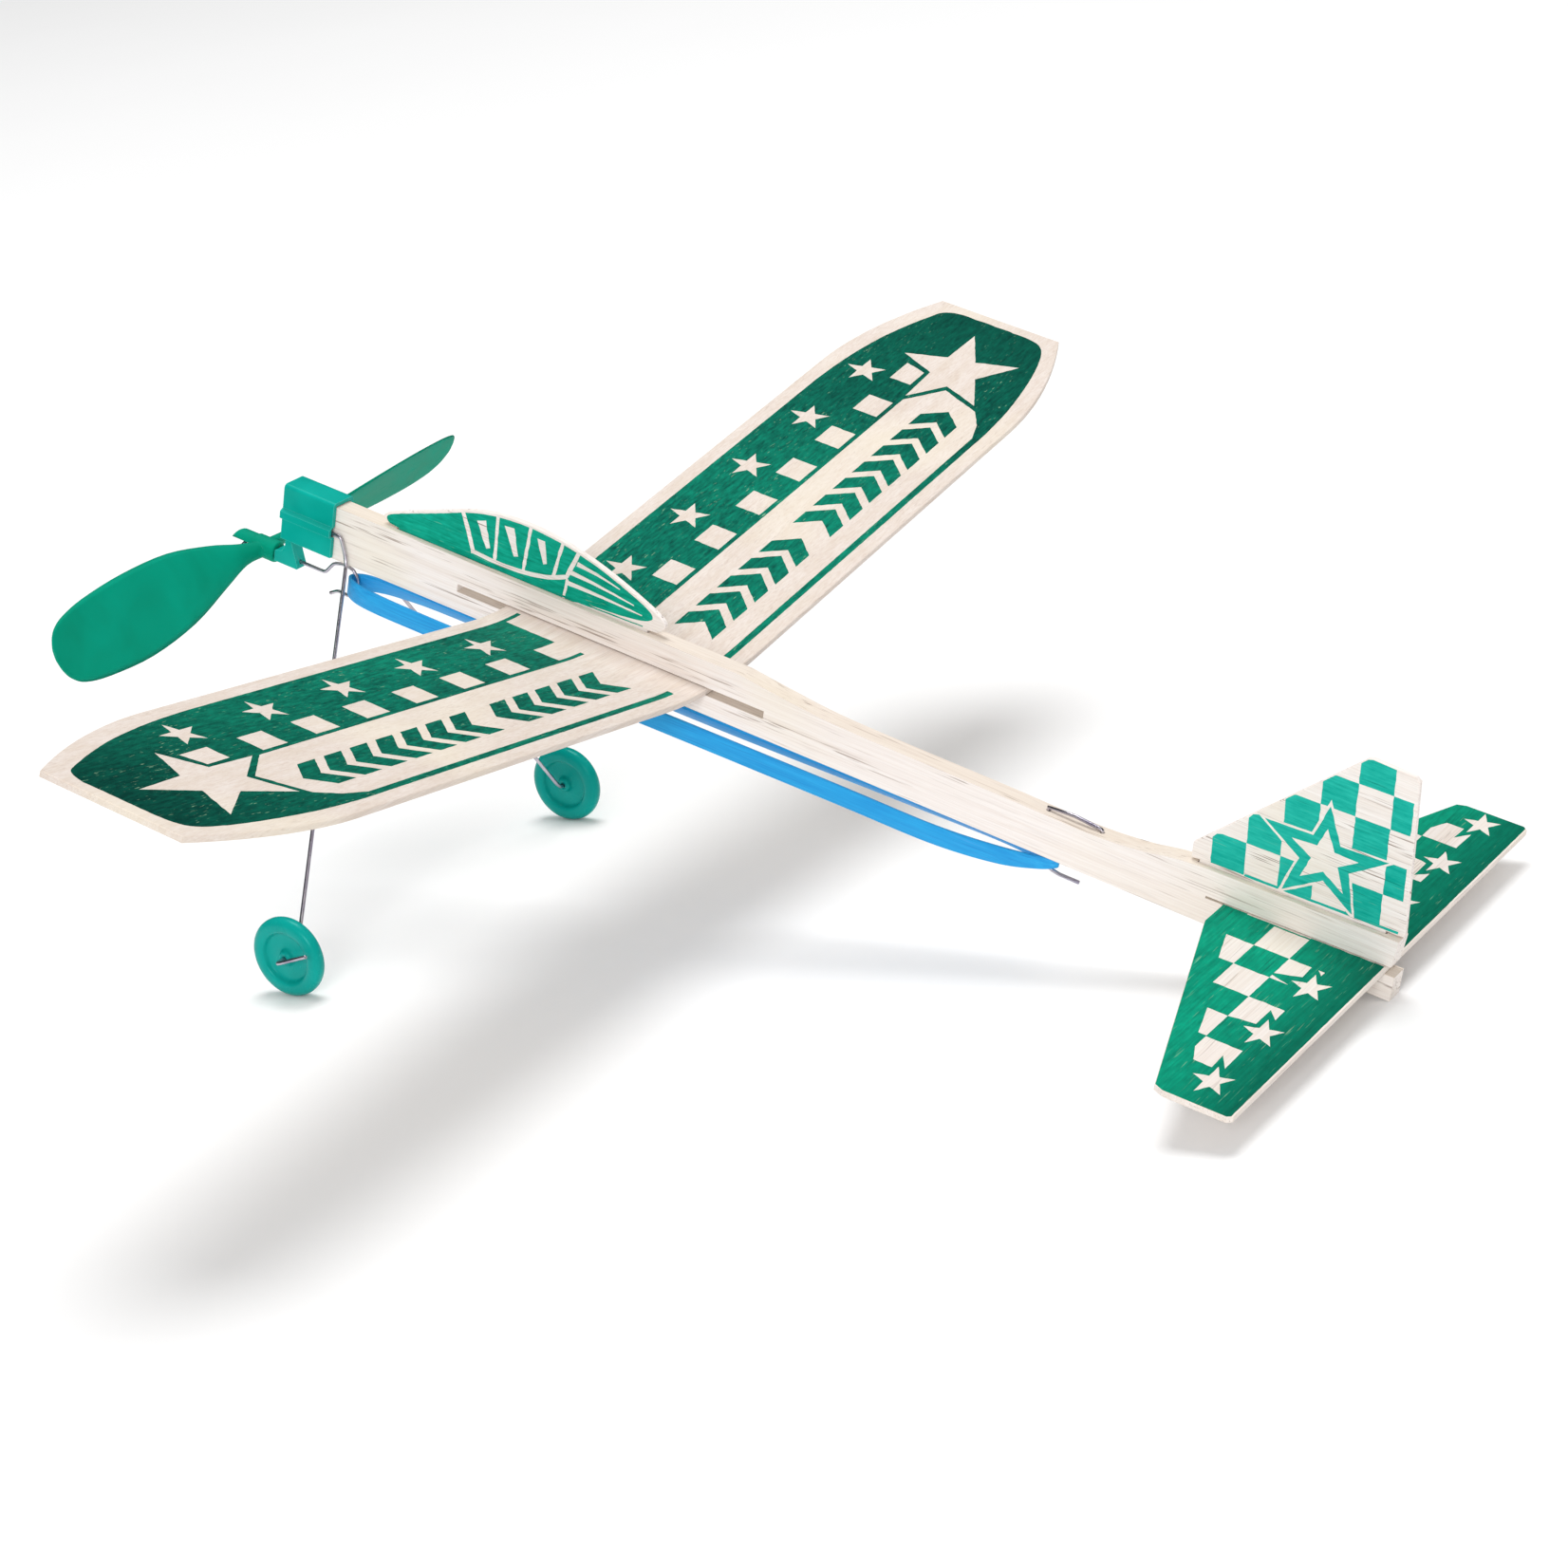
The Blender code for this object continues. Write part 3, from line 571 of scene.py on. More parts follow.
def stab_layers():
    """Ink all over, with a checkerboard that gives way to a row of stars."""
    front, chord = STAB_CHECK_X, STAB_CHECK_CHORD
    columns = [front + 8.0, front, front - chord, front - 2 * chord]
    rows = [STAB_CHECK_Y + STAB_CHECK_SPAN * i for i in range(7)]
    star_rows = [STAB_FIRST_STAR_Y + STAB_STAR_PITCH * i for i in range(3)]
    bare = [
        rectangle(columns[2], columns[1], rows[0] - 0.2, rows[1]),
        [(-143.0, rows[1]), (columns[1], rows[1]), (columns[1], rows[2]), (-146.3, rows[2])],
        [
            (columns[2], rows[1]),
            (-165.1, rows[1]),
            (-165.3, 22.6),
            (columns[2], 25.6),
        ],
        [(-166.9, rows[1]), (-168.5, rows[1]), (-168.5, 19.2)],
        [(columns[2], 26.6), (columns[2], rows[2]), (-164.2, rows[2])],
        rectangle(columns[2], columns[1], rows[2], rows[3]),
        [
            (columns[2], rows[3]),
            (columns[3], rows[3]),
            (-168.6, 44.5),
            (-165.9, 41.2),
            (-165.8, 48.9),
            (columns[2], rows[4]),
        ],
        [(-154.2, rows[4]), (columns[2], rows[4]), (columns[2], rows[5]), (-157.3, rows[5])],
        [
            (columns[2], rows[5] + 0.4),
            (columns[3], rows[5] + 0.4),
            (-168.7, 70.9),
            (-165.9, 66.2),
            (-166.1, 72.3),
            (-161.5, 72.3),
            (columns[2], 67.0),
        ],
    ]
    layers = [(False, points) for points in bare]
    layers += [(False, star(STAB_STAR_X, y, *STAB_STAR_RADII)) for y in star_rows]
    shifted = [
        (inked, [(x, y + STAB_PRINT_SHIFT) for x, y in points]) for inked, points in mirrored(layers)
    ]
    field = [(True, rectangle(STAB_TE_X + 0.5, STAB_TE_X + 60.0, 2.9, STAB_HALF_SPAN + 5.0))]
    first_row = STAB_CHECK_Y + STAB_PRINT_SHIFT
    root = [(False, rectangle(front - chord, front + 7.5, 2.0, first_row - 0.9))]
    return mirrored(field) + root + shifted


# ---------------------------------------------------------------- fin and cockpit panel


def upright_place(x, z, height):
    """A point of a sheet that stands on the fuselage's centre line."""
    return (x, -height, z)


def fin_outline():
    foot = TAIL_TOP_Z - 4.4 + GAP
    return [
        (-127.2, foot),
        (-127.2, 14.6 + GAP),
        (-125.0, 14.3 + GAP),
        (-124.8, 18.8),
        (-162.0, 56.6),
        (-163.2, 57.0),
        (-174.0, 56.6),
        (-175.2, 55.6),
        (-180.5, 17.0),
        (-180.3, TAIL_TOP_Z + GAP),
        (-175.8, TAIL_TOP_Z + GAP),
        (-175.8, foot),
    ]


def check_point(column, row):
    """A corner of the fin's checkerboard, counted from its lowest front corner."""
    x, z = CHECK_CORNER
    return (
        x - CHECK_WIDTH * column + CHECK_SLANT * CHECK_HEIGHT * row,
        z + CHECK_HEIGHT * row + CHECK_RISE * CHECK_WIDTH * column,
    )


def fin_check(column, row, front=1.0, top=1.0):
    """One square, with its upper front corner cut off where it meets the fin's sloping edge."""
    low_front = check_point(column, row)
    low_back = check_point(column + front, row)
    high_back = check_point(column + front, row + top)
    high_front = check_point(column, row + top)
    if column != row:
        return [low_front, low_back, high_back, high_front]
    return [
        low_front,
        low_back,
        high_back,
        check_point(column + 0.30, row + 1.0),
        check_point(column + 0.12, row + 0.95),
        check_point(column, row + 0.80),
    ]


def fin_layers():
    checks = [(0, 0), (1, 1), (2, 2), (3, 3), (4, 4), (2, 0), (3, 1), (4, 2), (4, 0), (3, 0)]
    layers = [(True, fin_check(column, row)) for column, row in checks if (column + row) % 2 == 0]
    for row in (1, 3):
        layers.append((True, fin_check(5, row, front=0.58)))
    layers.append((True, [(-139.0, 15.3), (-178.8, 16.5), (-178.8, 17.2), (-139.0, 16.0)]))
    tips = [(-155.9, 41.5), (-172.7, 33.2), (-166.8, 16.7), (-148.7, 16.0), (-140.8, 32.1)]
    waists = [(-160.5, 32.5), (-163.9, 26.6), (-158.1, 22.3), (-151.2, 25.6), (-153.3, 32.7)]
    ring = [point for pair in zip(tips, waists) for point in pair]
    inner_tips = [(-156.5, 35.6), (-165.6, 30.3), (-163.6, 21.0), (-152.4, 21.1), (-148.4, 29.9)]
    inner_waists = [(-159.3, 30.4), (-160.9, 27.1), (-157.6, 24.6), (-154.0, 26.8), (-154.8, 30.5)]
    heart = [point for pair in zip(inner_tips, inner_waists) for point in pair]
    halo = inset(anticlockwise(ring), -STAR_HALO)
    layers += [(False, halo), (True, ring), (False, heart)]
    return layers


def cockpit_outline():
    top = [
        (28.5, 15.6),
        (26.6, 17.4),
        (27.4, 19.6),
        (33.0, 22.3),
        (43.0, 26.0),
        (52.0, 28.6),
        (61.0, 30.3),
        (70.5, 31.0),
        (80.0, 30.4),
        (88.5, 28.5),
        (98.0, 24.9),
        (112.0, 19.4),
        (115.5, 17.4),
        (113.4, 15.6),
    ]
    foot = DECK_Z - GROOVE_DEPTH + GAP
    rest = DECK_Z + GAP
    return smooth_curve(top, 5) + [(110.5, rest), (110.5, foot), (31.5, foot), (31.5, rest)]


def cockpit_layers():
    """A canopy with its frame bars, panes with a glint, and stripes that sweep back from it."""
    field = smooth_curve(
        [
            (58.0, 14.0),
            (50.0, 15.6),
            (40.0, 16.4),
            (32.5, 17.6),
            (30.4, 19.4),
            (33.5, 21.7),
            (43.0, 25.3),
            (52.0, 27.9),
            (61.0, 29.6),
            (70.5, 30.3),
            (80.0, 29.7),
            (88.5, 27.8),
            (98.0, 24.2),
            (112.0, 18.9),
            (114.4, 17.2),
            (113.0, 15.0),
            (112.0, 14.0),
        ],
        5,
    )
    sill = smooth_curve([(86.6, 17.4), (78.0, 16.9), (70.0, 17.4), (63.0, 18.7), (57.2, 20.9)], 4)
    bars = [
        strip([(91.0, 27.6), (88.6, 22.5), (86.4, 16.9)], 1.3),
        strip(sill, 1.2),
        strip([(79.6, 17.2), (80.0, 30.6)], 1.0),
        strip([(70.6, 17.4), (69.6, 31.2)], 1.0),
        strip([(61.4, 19.3), (59.4, 30.4)], 1.0),
        strip([(57.4, 20.6), (54.2, 29.2)], 1.2),
    ]
    glints = [
        [(86.2, 26.4), (83.6, 27.4), (81.4, 20.2), (82.6, 19.6)],
        [(77.6, 28.0), (74.6, 28.4), (72.6, 21.0), (73.8, 20.6)],
        [(67.4, 28.2), (65.0, 28.2), (63.6, 22.2), (64.8, 21.8)],
    ]
    stripes = [
        strip(smooth_curve([(54.6, 25.6), (48.0, 24.8), (41.0, 23.4)], 4), 1.3, 0.3),
        strip(smooth_curve([(56.6, 22.6), (48.0, 22.0), (36.4, 20.6)], 4), 1.4, 0.3),
        strip(smooth_curve([(57.4, 19.4), (47.0, 19.3), (33.6, 18.7)], 4), 1.4, 0.3),
        strip([(57.5, 14.6), (56.9, 20.4)], 0.8),
    ]
    keel = strip(smooth_curve([(58.0, 15.2), (46.0, 15.5), (33.0, 15.9)], 4), 0.5, 0.3)
    layers = [(True, field)]
    layers += [(False, outline) for outline in bars + glints + stripes]
    layers.append((True, keel))
    return layers


# ---------------------------------------------------------------- rubber band


def band_section():
    """Points round the band's cross-section: how far outwards, which edge, how far back from it."""
    flat = BAND_THICKNESS / 2 - BAND_CORNER
    section = []
    for side, edge in ((1, -1), (1, 1), (-1, 1), (-1, -1)):
        for step in range(3):
            angle = pi / 4 * step
            out, in_ = (sin(angle), cos(angle)) if edge * side < 0 else (cos(angle), sin(angle))
            section.append((side * (flat + BAND_CORNER * out), edge, BAND_CORNER * (1 - in_)))
    return section


def band_mesh():
    """A flat band in a slack loop, with rounded edges.

    Each knot gives x, then y and z of the band's upper edge, then y and z of its lower edge.
    """
    port = [
        (124.6, 0.0, -4.0, 0.0, -8.6),
        (121.5, 3.4, -3.5, 3.6, -8.9),
        (114.0, 5.4, -3.2, 5.6, -8.8),
        (98.0, 6.0, -3.2, 6.0, -8.7),
        (60.0, 5.4, -3.4, 5.2, -8.9),
        (20.0, 4.0, -3.5, 3.9, -9.0),
        (-30.0, 3.0, -3.7, 2.9, -9.1),
        (-58.0, 3.0, -3.6, 2.9, -8.9),
        (-76.0, 2.4, -2.4, 2.2, -7.3),
        (-87.0, 1.5, -1.0, 1.4, -4.6),
    ]
    starboard = [
        (-91.3, 0.0, -0.5, 0.0, -3.0),
        (-87.0, -1.4, -0.9, -1.5, -4.2),
        (-74.0, -1.5, -1.8, -4.0, -4.5),
        (-40.0, -1.8, -2.7, -5.5, -6.0),
        (20.0, -2.2, -3.3, -5.8, -7.5),
        (90.0, -2.4, -3.2, -6.0, -7.4),
        (112.0, -2.3, -3.3, -5.2, -7.9),
        (121.0, -2.0, -3.5, -2.9, -8.5),
    ]
    path = smooth_curve(port + starboard, 12, closed=True)
    section = band_section()
    rings = []
    count = len(path)
    for i, (x, top_y, top_z, low_y, low_z) in enumerate(path):
        top, low = Vector((x, top_y, top_z)), Vector((x, low_y, low_z))
        middle = (top + low) / 2
        before, after = path[i - 1], path[(i + 1) % count]
        sideways = (after[1] + after[3] - before[1] - before[3]) / 2
        tangent = Vector((after[0] - before[0], sideways, 0))
        edgewise = (top - low).normalized()
        outward = tangent.cross(edgewise).normalized()
        reach = (top - low).length / 2
        ring = [middle + outward * out + edgewise * edge * (reach - back) for out, edge, back in section]
        rings.append(ring)
    return ring_mesh("band", rings)


# ---------------------------------------------------------------- wheels


def wheel_profile():
    """Radius and side offset of the turned wheel, from the bore over one side to the tread."""
    return [
        (0.67, 2.12),
        (1.45, 2.15),
        (1.85, 1.95),
        (2.05, 1.4),
        (2.3, 0.72),
        (2.7, 0.54),
        (6.1, 0.54),
        (6.55, 0.66),
        (6.8, 1.0),
        (7.0, 1.55),
        (7.3, 1.88),
        (7.9, 2.04),
        (8.7, 2.08),
        (9.5, 1.98),
        (10.2, 1.66),
        (10.7, 1.15),
        (10.92, 0.6),
        (10.98, 0.0),
    ]


def wheel_mesh(name, side):
    """A moulded disc wheel turned about its axle, with a raised rim and a small hub."""
    half = wheel_profile()
    profile = half + [(radius, -offset) for radius, offset in reversed(half[:-1])]
    x, y, z = WHEEL_PLACE
    rings = []
    for step in range(WHEEL_STEPS):
        turn = 2 * pi * step / WHEEL_STEPS
        ring = [(x + r * sin(turn), side * y + offset, z + r * cos(turn)) for r, offset in profile]
        rings.append(ring)
    return ring_mesh(name, rings)


# ---------------------------------------------------------------- materials

BALSA_PALE = (0.75, 0.675, 0.62)
BALSA_WARM = (0.69, 0.60, 0.52)
BALSA_CREAM = (0.82, 0.75, 0.60)
FIBRE_BROWN = (0.58, 0.46, 0.39)
PORE_BROWN = (0.27, 0.19, 0.15)
HANDLED_EDGE = (0.66, 0.50, 0.33)
# Painted shade for the faces of the wood that look up: it darkens and warms them.
TOP_SHADE = (0.90, 0.865, 0.80)  # multiplies the wood's own colour

SCRATCHED_INK = (0.36, 0.58, 0.36)
PORE_INK = (0.005, 0.06, 0.045)
INK_SHEEN = (0.25, 1.0, 0.85)
PLASTIC_SHEEN = (0.35, 1.0, 0.90)

STEEL_VIOLET = (0.38, 0.35, 0.45)
STEEL_BRIGHT = (0.62, 0.59, 0.63)
DIE_MARK = (0.16, 0.13, 0.17)

RUBBER_BLUE = (0.010, 0.29, 0.67)
RUBBER_BLOOM = (0.022, 0.39, 0.77)
RUBBER_DEEP = (0.006, 0.12, 0.46)
RUBBER_WORN = (0.16, 0.52, 0.88)


class Shader:
    """A material's node tree, with short ways to add the nodes that the materials share.

    Its patterns follow the aircraft's own axes, whatever the stance.
    """

    def __init__(self, name):
        self.material = bpy.data.materials.new(name)
        self.material.use_nodes = True
        self.nodes = self.material.node_tree.nodes
        self.links = self.material.node_tree.links
        self.surface = self.nodes["Principled BSDF"]
        level = self.nodes.new("ShaderNodeMapping")
        level.inputs["Rotation"].default_value = (0, NOSE_UP, 0)
        self.links.new(self.nodes.new("ShaderNodeTexCoord").outputs["Object"], level.inputs["Vector"])
        self.place = level.outputs["Vector"]

    def plug(self, value, socket):
        if isinstance(value, bpy.types.NodeSocket):
            self.links.new(value, socket)
        else:
            socket.default_value = value

    def noise(self, scale, detail=2.0, roughness=0.5, shift=(0, 0, 0), distortion=0.0):
        """Noise with so many features per metre along each axis."""
        mapping = self.nodes.new("ShaderNodeMapping")
        self.links.new(self.place, mapping.inputs["Vector"])
        mapping.inputs["Scale"].default_value = scale
        mapping.inputs["Location"].default_value = shift
        node = self.nodes.new("ShaderNodeTexNoise")
        self.links.new(mapping.outputs["Vector"], node.inputs["Vector"])
        node.inputs["Scale"].default_value = 1.0
        node.inputs["Detail"].default_value = detail
        node.inputs["Roughness"].default_value = roughness
        node.inputs["Distortion"].default_value = distortion
        return node.outputs["Fac"]

    def ramp(self, axis, start, end):
        """0 to 1 between two places along one of the aircraft's axes, given in millimetres.

        Across the aircraft, along Y, both sides are alike.
        """
        parts = self.nodes.new("ShaderNodeSeparateXYZ")
        self.links.new(self.place, parts.inputs["Vector"])
        if axis == "Y":
            return self.spread(self.math("ABSOLUTE", parts.outputs[axis], 0.0), start * MM, end * MM)
        origin = (AIRCRAFT.to_3x3().transposed() @ AIRCRAFT.translation)["XYZ".index(axis)]
        return self.spread(parts.outputs[axis], origin + start * MM, origin + end * MM)

    def spread(self, value, low, high, to_low=0.0, to_high=1.0):
        """Stretches low..high to to_low..to_high, and stops there."""
        node = self.nodes.new("ShaderNodeMapRange")
        self.plug(value, node.inputs["Value"])
        node.inputs["From Min"].default_value = low
        node.inputs["From Max"].default_value = high
        node.inputs["To Min"].default_value = to_low
        node.inputs["To Max"].default_value = to_high
        return node.outputs["Result"]

    def math(self, operation, a, b):
        node = self.nodes.new("ShaderNodeMath")
        node.operation = operation
        self.plug(a, node.inputs[0])
        self.plug(b, node.inputs[1])
        return node.outputs["Value"]

    def blend(self, factor, a, b, mode="MIX"):
        node = self.nodes.new("ShaderNodeMix")
        node.data_type = "RGBA"
        node.blend_type = mode
        self.plug(factor, node.inputs["Factor"])
        self.plug(a if isinstance(a, bpy.types.NodeSocket) else (*a, 1.0), node.inputs["A"])
        self.plug(b if isinstance(b, bpy.types.NodeSocket) else (*b, 1.0), node.inputs["B"])
        return node.outputs["Result"]

    def edges(self, radius):
        """1 on sharp edges, 0 elsewhere."""
        bevel = self.nodes.new("ShaderNodeBevel")
        bevel.samples = 4
        bevel.inputs["Radius"].default_value = radius
        flat = self.nodes.new("ShaderNodeNewGeometry").outputs["Normal"]
        node = self.nodes.new("ShaderNodeVectorMath")
        node.operation = "DOT_PRODUCT"
        self.links.new(bevel.outputs["Normal"], node.inputs[0])
        self.links.new(flat, node.inputs[1])
        return self.spread(node.outputs["Value"], 0.97, 0.80)

    def facing_up(self):
        """1 on faces that look up, 0 on upright ones."""
        parts = self.nodes.new("ShaderNodeSeparateXYZ")
        self.links.new(self.nodes.new("ShaderNodeNewGeometry").outputs["Normal"], parts.inputs["Vector"])
        return self.spread(parts.outputs["Z"], 0.45, 0.85)

    def finish(self, color, roughness, height=None, depth=0.0):
        self.plug(color, self.surface.inputs["Base Color"])
        self.plug(roughness, self.surface.inputs["Roughness"])
        if height is not None:
            bump = self.nodes.new("ShaderNodeBump")
            bump.inputs["Strength"].default_value = 1.0
            bump.inputs["Distance"].default_value = depth
            self.links.new(height, bump.inputs["Height"])
            self.links.new(bump.outputs["Normal"], self.surface.inputs["Normal"])
        return self.material


def along(grain, fine, coarse):
    """Features per metre: coarse along the grain, and fine across it."""
    return tuple(coarse if axis == grain else fine for axis in "xyz")


def wood_parts(shader, grain):
    """What bare and printed balsa share: fibres, pores, and the patches in which the pores crowd."""
    fibres = shader.noise(along(grain, 2400, 32), detail=3.0, roughness=0.6)
    pores = shader.noise(along(grain, 2300, 70), detail=1.0, shift=(9.0, 4.0, 2.0))
    patches = shader.noise(along(grain, 300, 9), detail=1.0, shift=(5.0, 8.0, 1.0))
    return fibres, pores, patches


def balsa(name, grain, pale=BALSA_PALE, warm=BALSA_WARM, flecks=0.4, lines=0.36, shaded_tops=False):
    """Bare balsa: pale and soft, with fine fibres along the grain and short dark pores.

    It goes from pale to warm in bands along the grain. flecks is how dark the pores are, and lines
    how strong the fibres are. The faces that look up can be given painted shade, which makes them darker
    and warmer.
    """
    shader = Shader(name)
    fibres, pores, patches = wood_parts(shader, grain)
    bands = shader.noise(along(grain, 420, 6), detail=3.0, roughness=0.6, shift=(3.1, 1.7, 0.4))
    color = shader.blend(shader.spread(bands, 0.36, 0.70), pale, warm)
    color = shader.blend(shader.spread(fibres, 0.40, 0.70, 0.0, lines), color, FIBRE_BROWN)
    drift = shader.noise((22, 22, 22), detail=1.0, shift=(0.3, 0.9, 0.1))
    color = shader.blend(shader.spread(drift, 0.50, 0.72, 0.0, 0.42), color, BALSA_CREAM)
    here = shader.spread(patches, 0.47, 0.60, 0.15, 1.0)
    fleck = shader.math("MULTIPLY", shader.spread(pores, 0.60, 0.68, 0.0, flecks), here)
    color = shader.blend(fleck, color, PORE_BROWN)
    handled = shader.math("MULTIPLY", shader.edges(0.25 * MM), 0.30)
    color = shader.blend(handled, color, HANDLED_EDGE)
    # Painted shade: the faces that look up are made darker and warmer.
    if shaded_tops:
        color = shader.blend(shader.facing_up(), color, TOP_SHADE, "MULTIPLY")
    rough = shader.spread(fibres, 0.3, 0.7, 0.70, 0.90)
    shader.surface.inputs["Specular IOR Level"].default_value = 0.2
    return shader.finish(color, rough, shader.math("SUBTRACT", fibres, fleck), 0.06 * MM)


def ink(name, grain, deep, light, scratches=0.5, darkening=None, run=60):
    """Printing ink on balsa: streaked along the grain, scratched, and darker in the pores.

    An axis and two places in millimetres can be given, between which the ink gets darker, and run
    is how many streaks follow each other along a metre of grain.
    """
    shader = Shader(name)
    fibres, pores, patches = wood_parts(shader, grain)
    streaks = shader.noise(along(grain, 1300, run), detail=4.0, roughness=0.65, shift=(2.0, 6.0, 3.0))
    mottle = shader.noise(along(grain, 800, 300), detail=3.0, roughness=0.6)
    broad = shader.noise((24, 12, 24), detail=2.0, shift=(1.0, 1.0, 1.0))
    amount = shader.math("MULTIPLY", streaks, 0.45)
    for part, share in ((mottle, 0.25), (broad, 0.3)):
        amount = shader.math("ADD", amount, shader.math("MULTIPLY", part, share))
    color = shader.blend(shader.spread(amount, 0.38, 0.64), deep, light)
    if darkening:
        darkening_ramp = shader.math("MULTIPLY", shader.ramp(*darkening), 0.75)
        color = shader.blend(darkening_ramp, color, tuple(0.45 * c for c in deep))
    bare = shader.noise(along(grain, 2300, 2 * run), detail=2.0, shift=(7.0, 2.0, 5.0))
    here = shader.spread(patches, 0.44, 0.62)
    scratch = shader.math("MULTIPLY", shader.spread(bare, 0.64, 0.74, 0.0, scratches), here)
    color = shader.blend(scratch, color, SCRATCHED_INK)
    color = shader.blend(shader.spread(pores, 0.66, 0.74, 0.0, 0.45), color, PORE_INK)
    rough = shader.spread(fibres, 0.3, 0.7, 0.55, 0.75)
    shader.surface.inputs["Specular IOR Level"].default_value = 0.06
    shader.surface.inputs["Specular Tint"].default_value = (*INK_SHEEN, 1.0)
    return shader.finish(color, rough, fibres, 0.04 * MM)


def plastic(name, color, lighter, polish=0.30, shine=0.18):
    """Moulded plastic: nearly even, with faint flow marks, edges lightened by wear and by a painted
    highlight, and fine scuffs.
    """
    shader = Shader(name)
    flow = shader.noise((55, 55, 55), detail=2.0, distortion=0.6)
    grainy = shader.noise((2400, 2400, 2400), detail=2.0)
    scuffs = shader.noise((2600, 130, 700), detail=1.0, shift=(1.0, 5.0, 2.0))
    tone = shader.blend(shader.spread(flow, 0.35, 0.68), color, lighter)
    # Edges are lightened, partly as wear and partly as a painted highlight along them.
    edge_wear_and_highlight = shader.math("MULTIPLY", shader.edges(0.4 * MM), 0.45)
    bright = tuple(min(1.0, 0.12 + 1.35 * c) for c in lighter)
    tone = shader.blend(edge_wear_and_highlight, tone, bright)
    tone = shader.blend(shader.spread(scuffs, 0.70, 0.78, 0.0, 0.20), tone, lighter)
    gloss = shader.spread(flow, 0.3, 0.7, polish, polish + 0.10)
    rough = shader.math("ADD", gloss, shader.spread(scuffs, 0.66, 0.78, 0.0, 0.22))
    shader.surface.inputs["Specular IOR Level"].default_value = shine
    shader.surface.inputs["Specular Tint"].default_value = (*PLASTIC_SHEEN, 1.0)
    shader.surface.inputs["Subsurface Weight"].default_value = 0.08
    shader.surface.inputs["Subsurface Radius"].default_value = (0.3, 1.0, 0.7)
    shader.surface.inputs["Subsurface Scale"].default_value = 0.6 * MM
    return shader.finish(tone, rough, grainy, 0.02 * MM)


def steel(name):
    """Drawn spring wire: bright, with die marks and a light blue-violet temper tint."""
    shader = Shader(name)
    marks = shader.noise((3000, 3000, 90), detail=2.0)
    tint = shader.noise((160, 160, 160), detail=2.0, shift=(4.0, 4.0, 4.0))
    color = shader.blend(shader.spread(tint, 0.35, 0.65), STEEL_VIOLET, STEEL_BRIGHT)
    color = shader.blend(shader.spread(marks, 0.6, 0.8, 0.0, 0.4), color, DIE_MARK)
    shader.surface.inputs["Metallic"].default_value = 1.0
    rough = shader.spread(marks, 0.3, 0.7, 0.26, 0.46)
    return shader.finish(color, rough, marks, 0.01 * MM)


def rubber(name):
    """Cut rubber strip: blue, with fine lines along it and a faint chalky bloom."""
    shader = Shader(name)
    lines = shader.noise((14, 1500, 2600), detail=3.0, roughness=0.6)
    bloom = shader.noise((60, 900, 900), detail=3.0, roughness=0.6)
    color = shader.blend(shader.spread(bloom, 0.30, 0.75), RUBBER_BLUE, RUBBER_BLOOM)
    color = shader.blend(shader.spread(lines, 0.54, 0.72, 0.0, 0.45), color, RUBBER_DEEP)
    color = shader.blend(shader.spread(lines, 0.42, 0.26, 0.0, 0.25), color, RUBBER_WORN)
    shader.surface.inputs["Specular IOR Level"].default_value = 0.25
    rough = shader.spread(bloom, 0.3, 0.7, 0.38, 0.58)
    return shader.finish(color, rough, lines, 0.03 * MM)


# ---------------------------------------------------------------- camera, floor and light


def add_camera():
    data = bpy.data.cameras.new("camera")
    data.sensor_width = 36.0
    data.lens = LENS
    data.clip_start = 0.05
    data.clip_end = 20.0
    camera = bpy.data.objects.new("camera", data)
    bpy.context.scene.collection.objects.link(camera)
    turn = Euler(CAMERA_TURN).to_matrix().to_4x4()
    camera.matrix_world = AIRCRAFT @ Matrix.Translation(CAMERA_PLACE * MM) @ turn
    bpy.context.scene.camera = camera


def add_floor():
    shape = bmesh.new()
    bmesh.ops.create_grid(shape, x_segments=1, y_segments=1, size=FLOOR_HALF_SIZE)
    mesh = bpy.data.meshes.new("floor")
    shape.to_mesh(mesh)
    shape.free()
    shader = Shader("paper_floor")
    tone = shader.noise((3, 3, 3), detail=2.0)
    color = shader.blend(tone, (0.90, 0.90, 0.90), (0.93, 0.93, 0.93))
    shader.surface.inputs["Specular IOR Level"].default_value = 0.0
    new_object("floor", mesh, [shader.finish(color, 0.95)])


def add_light(name, place, size, power):
    """A round white area light that looks at the middle of the aircraft. place is in metres."""
    data = bpy.data.lights.new(name, "AREA")
    data.shape = "DISK"
    data.size = size
    data.energy = power
    light = bpy.data.objects.new(name, data)
    bpy.context.scene.collection.objects.link(light)
    light.location = place
    middle = Vector((0, 0, 0.06))
    light.rotation_euler = (middle - Vector(place)).to_track_quat("-Z", "Y").to_euler()


def add_lights():
    world = bpy.data.worlds.new("studio")
    world.use_nodes = True
    sky = world.node_tree.nodes["Background"]
    sky.inputs["Color"].default_value = (1, 1, 1, 1)
    sky.inputs["Strength"].default_value = 0.56
    bpy.context.scene.world = world
    world.cycles_visibility.glossy = False
    bpy.context.scene.view_settings.view_transform = "Standard"
    add_light("overhead", (0.1, -0.7, 3.6), size=2.0, power=77.0)
    add_light("front", (-1.2, 2.9, 1.3), size=1.3, power=46.0)


# ---------------------------------------------------------------- assembly


def dress(node, material, edge=0.0):
    """Gives a CAD node its finish, with its facets shaded smoothly and, when an edge width is given, its
    sharp edges eased.
    """
    obj = frame["nodes"][node]
    obj.data.materials.clear()
    obj.data.materials.append(material)
    weld = obj.modifiers.new("weld", "WELD")
    weld.merge_threshold = WELD
    if edge:
        eased = obj.modifiers.new("eased_edges", "BEVEL")
        eased.width = edge
        eased.segments = 2
        eased.limit_method = "ANGLE"
        eased.angle_limit = EASED_ANGLE
    normals = obj.modifiers.new("even_shading", "WEIGHTED_NORMAL")
    normals.keep_sharp = False


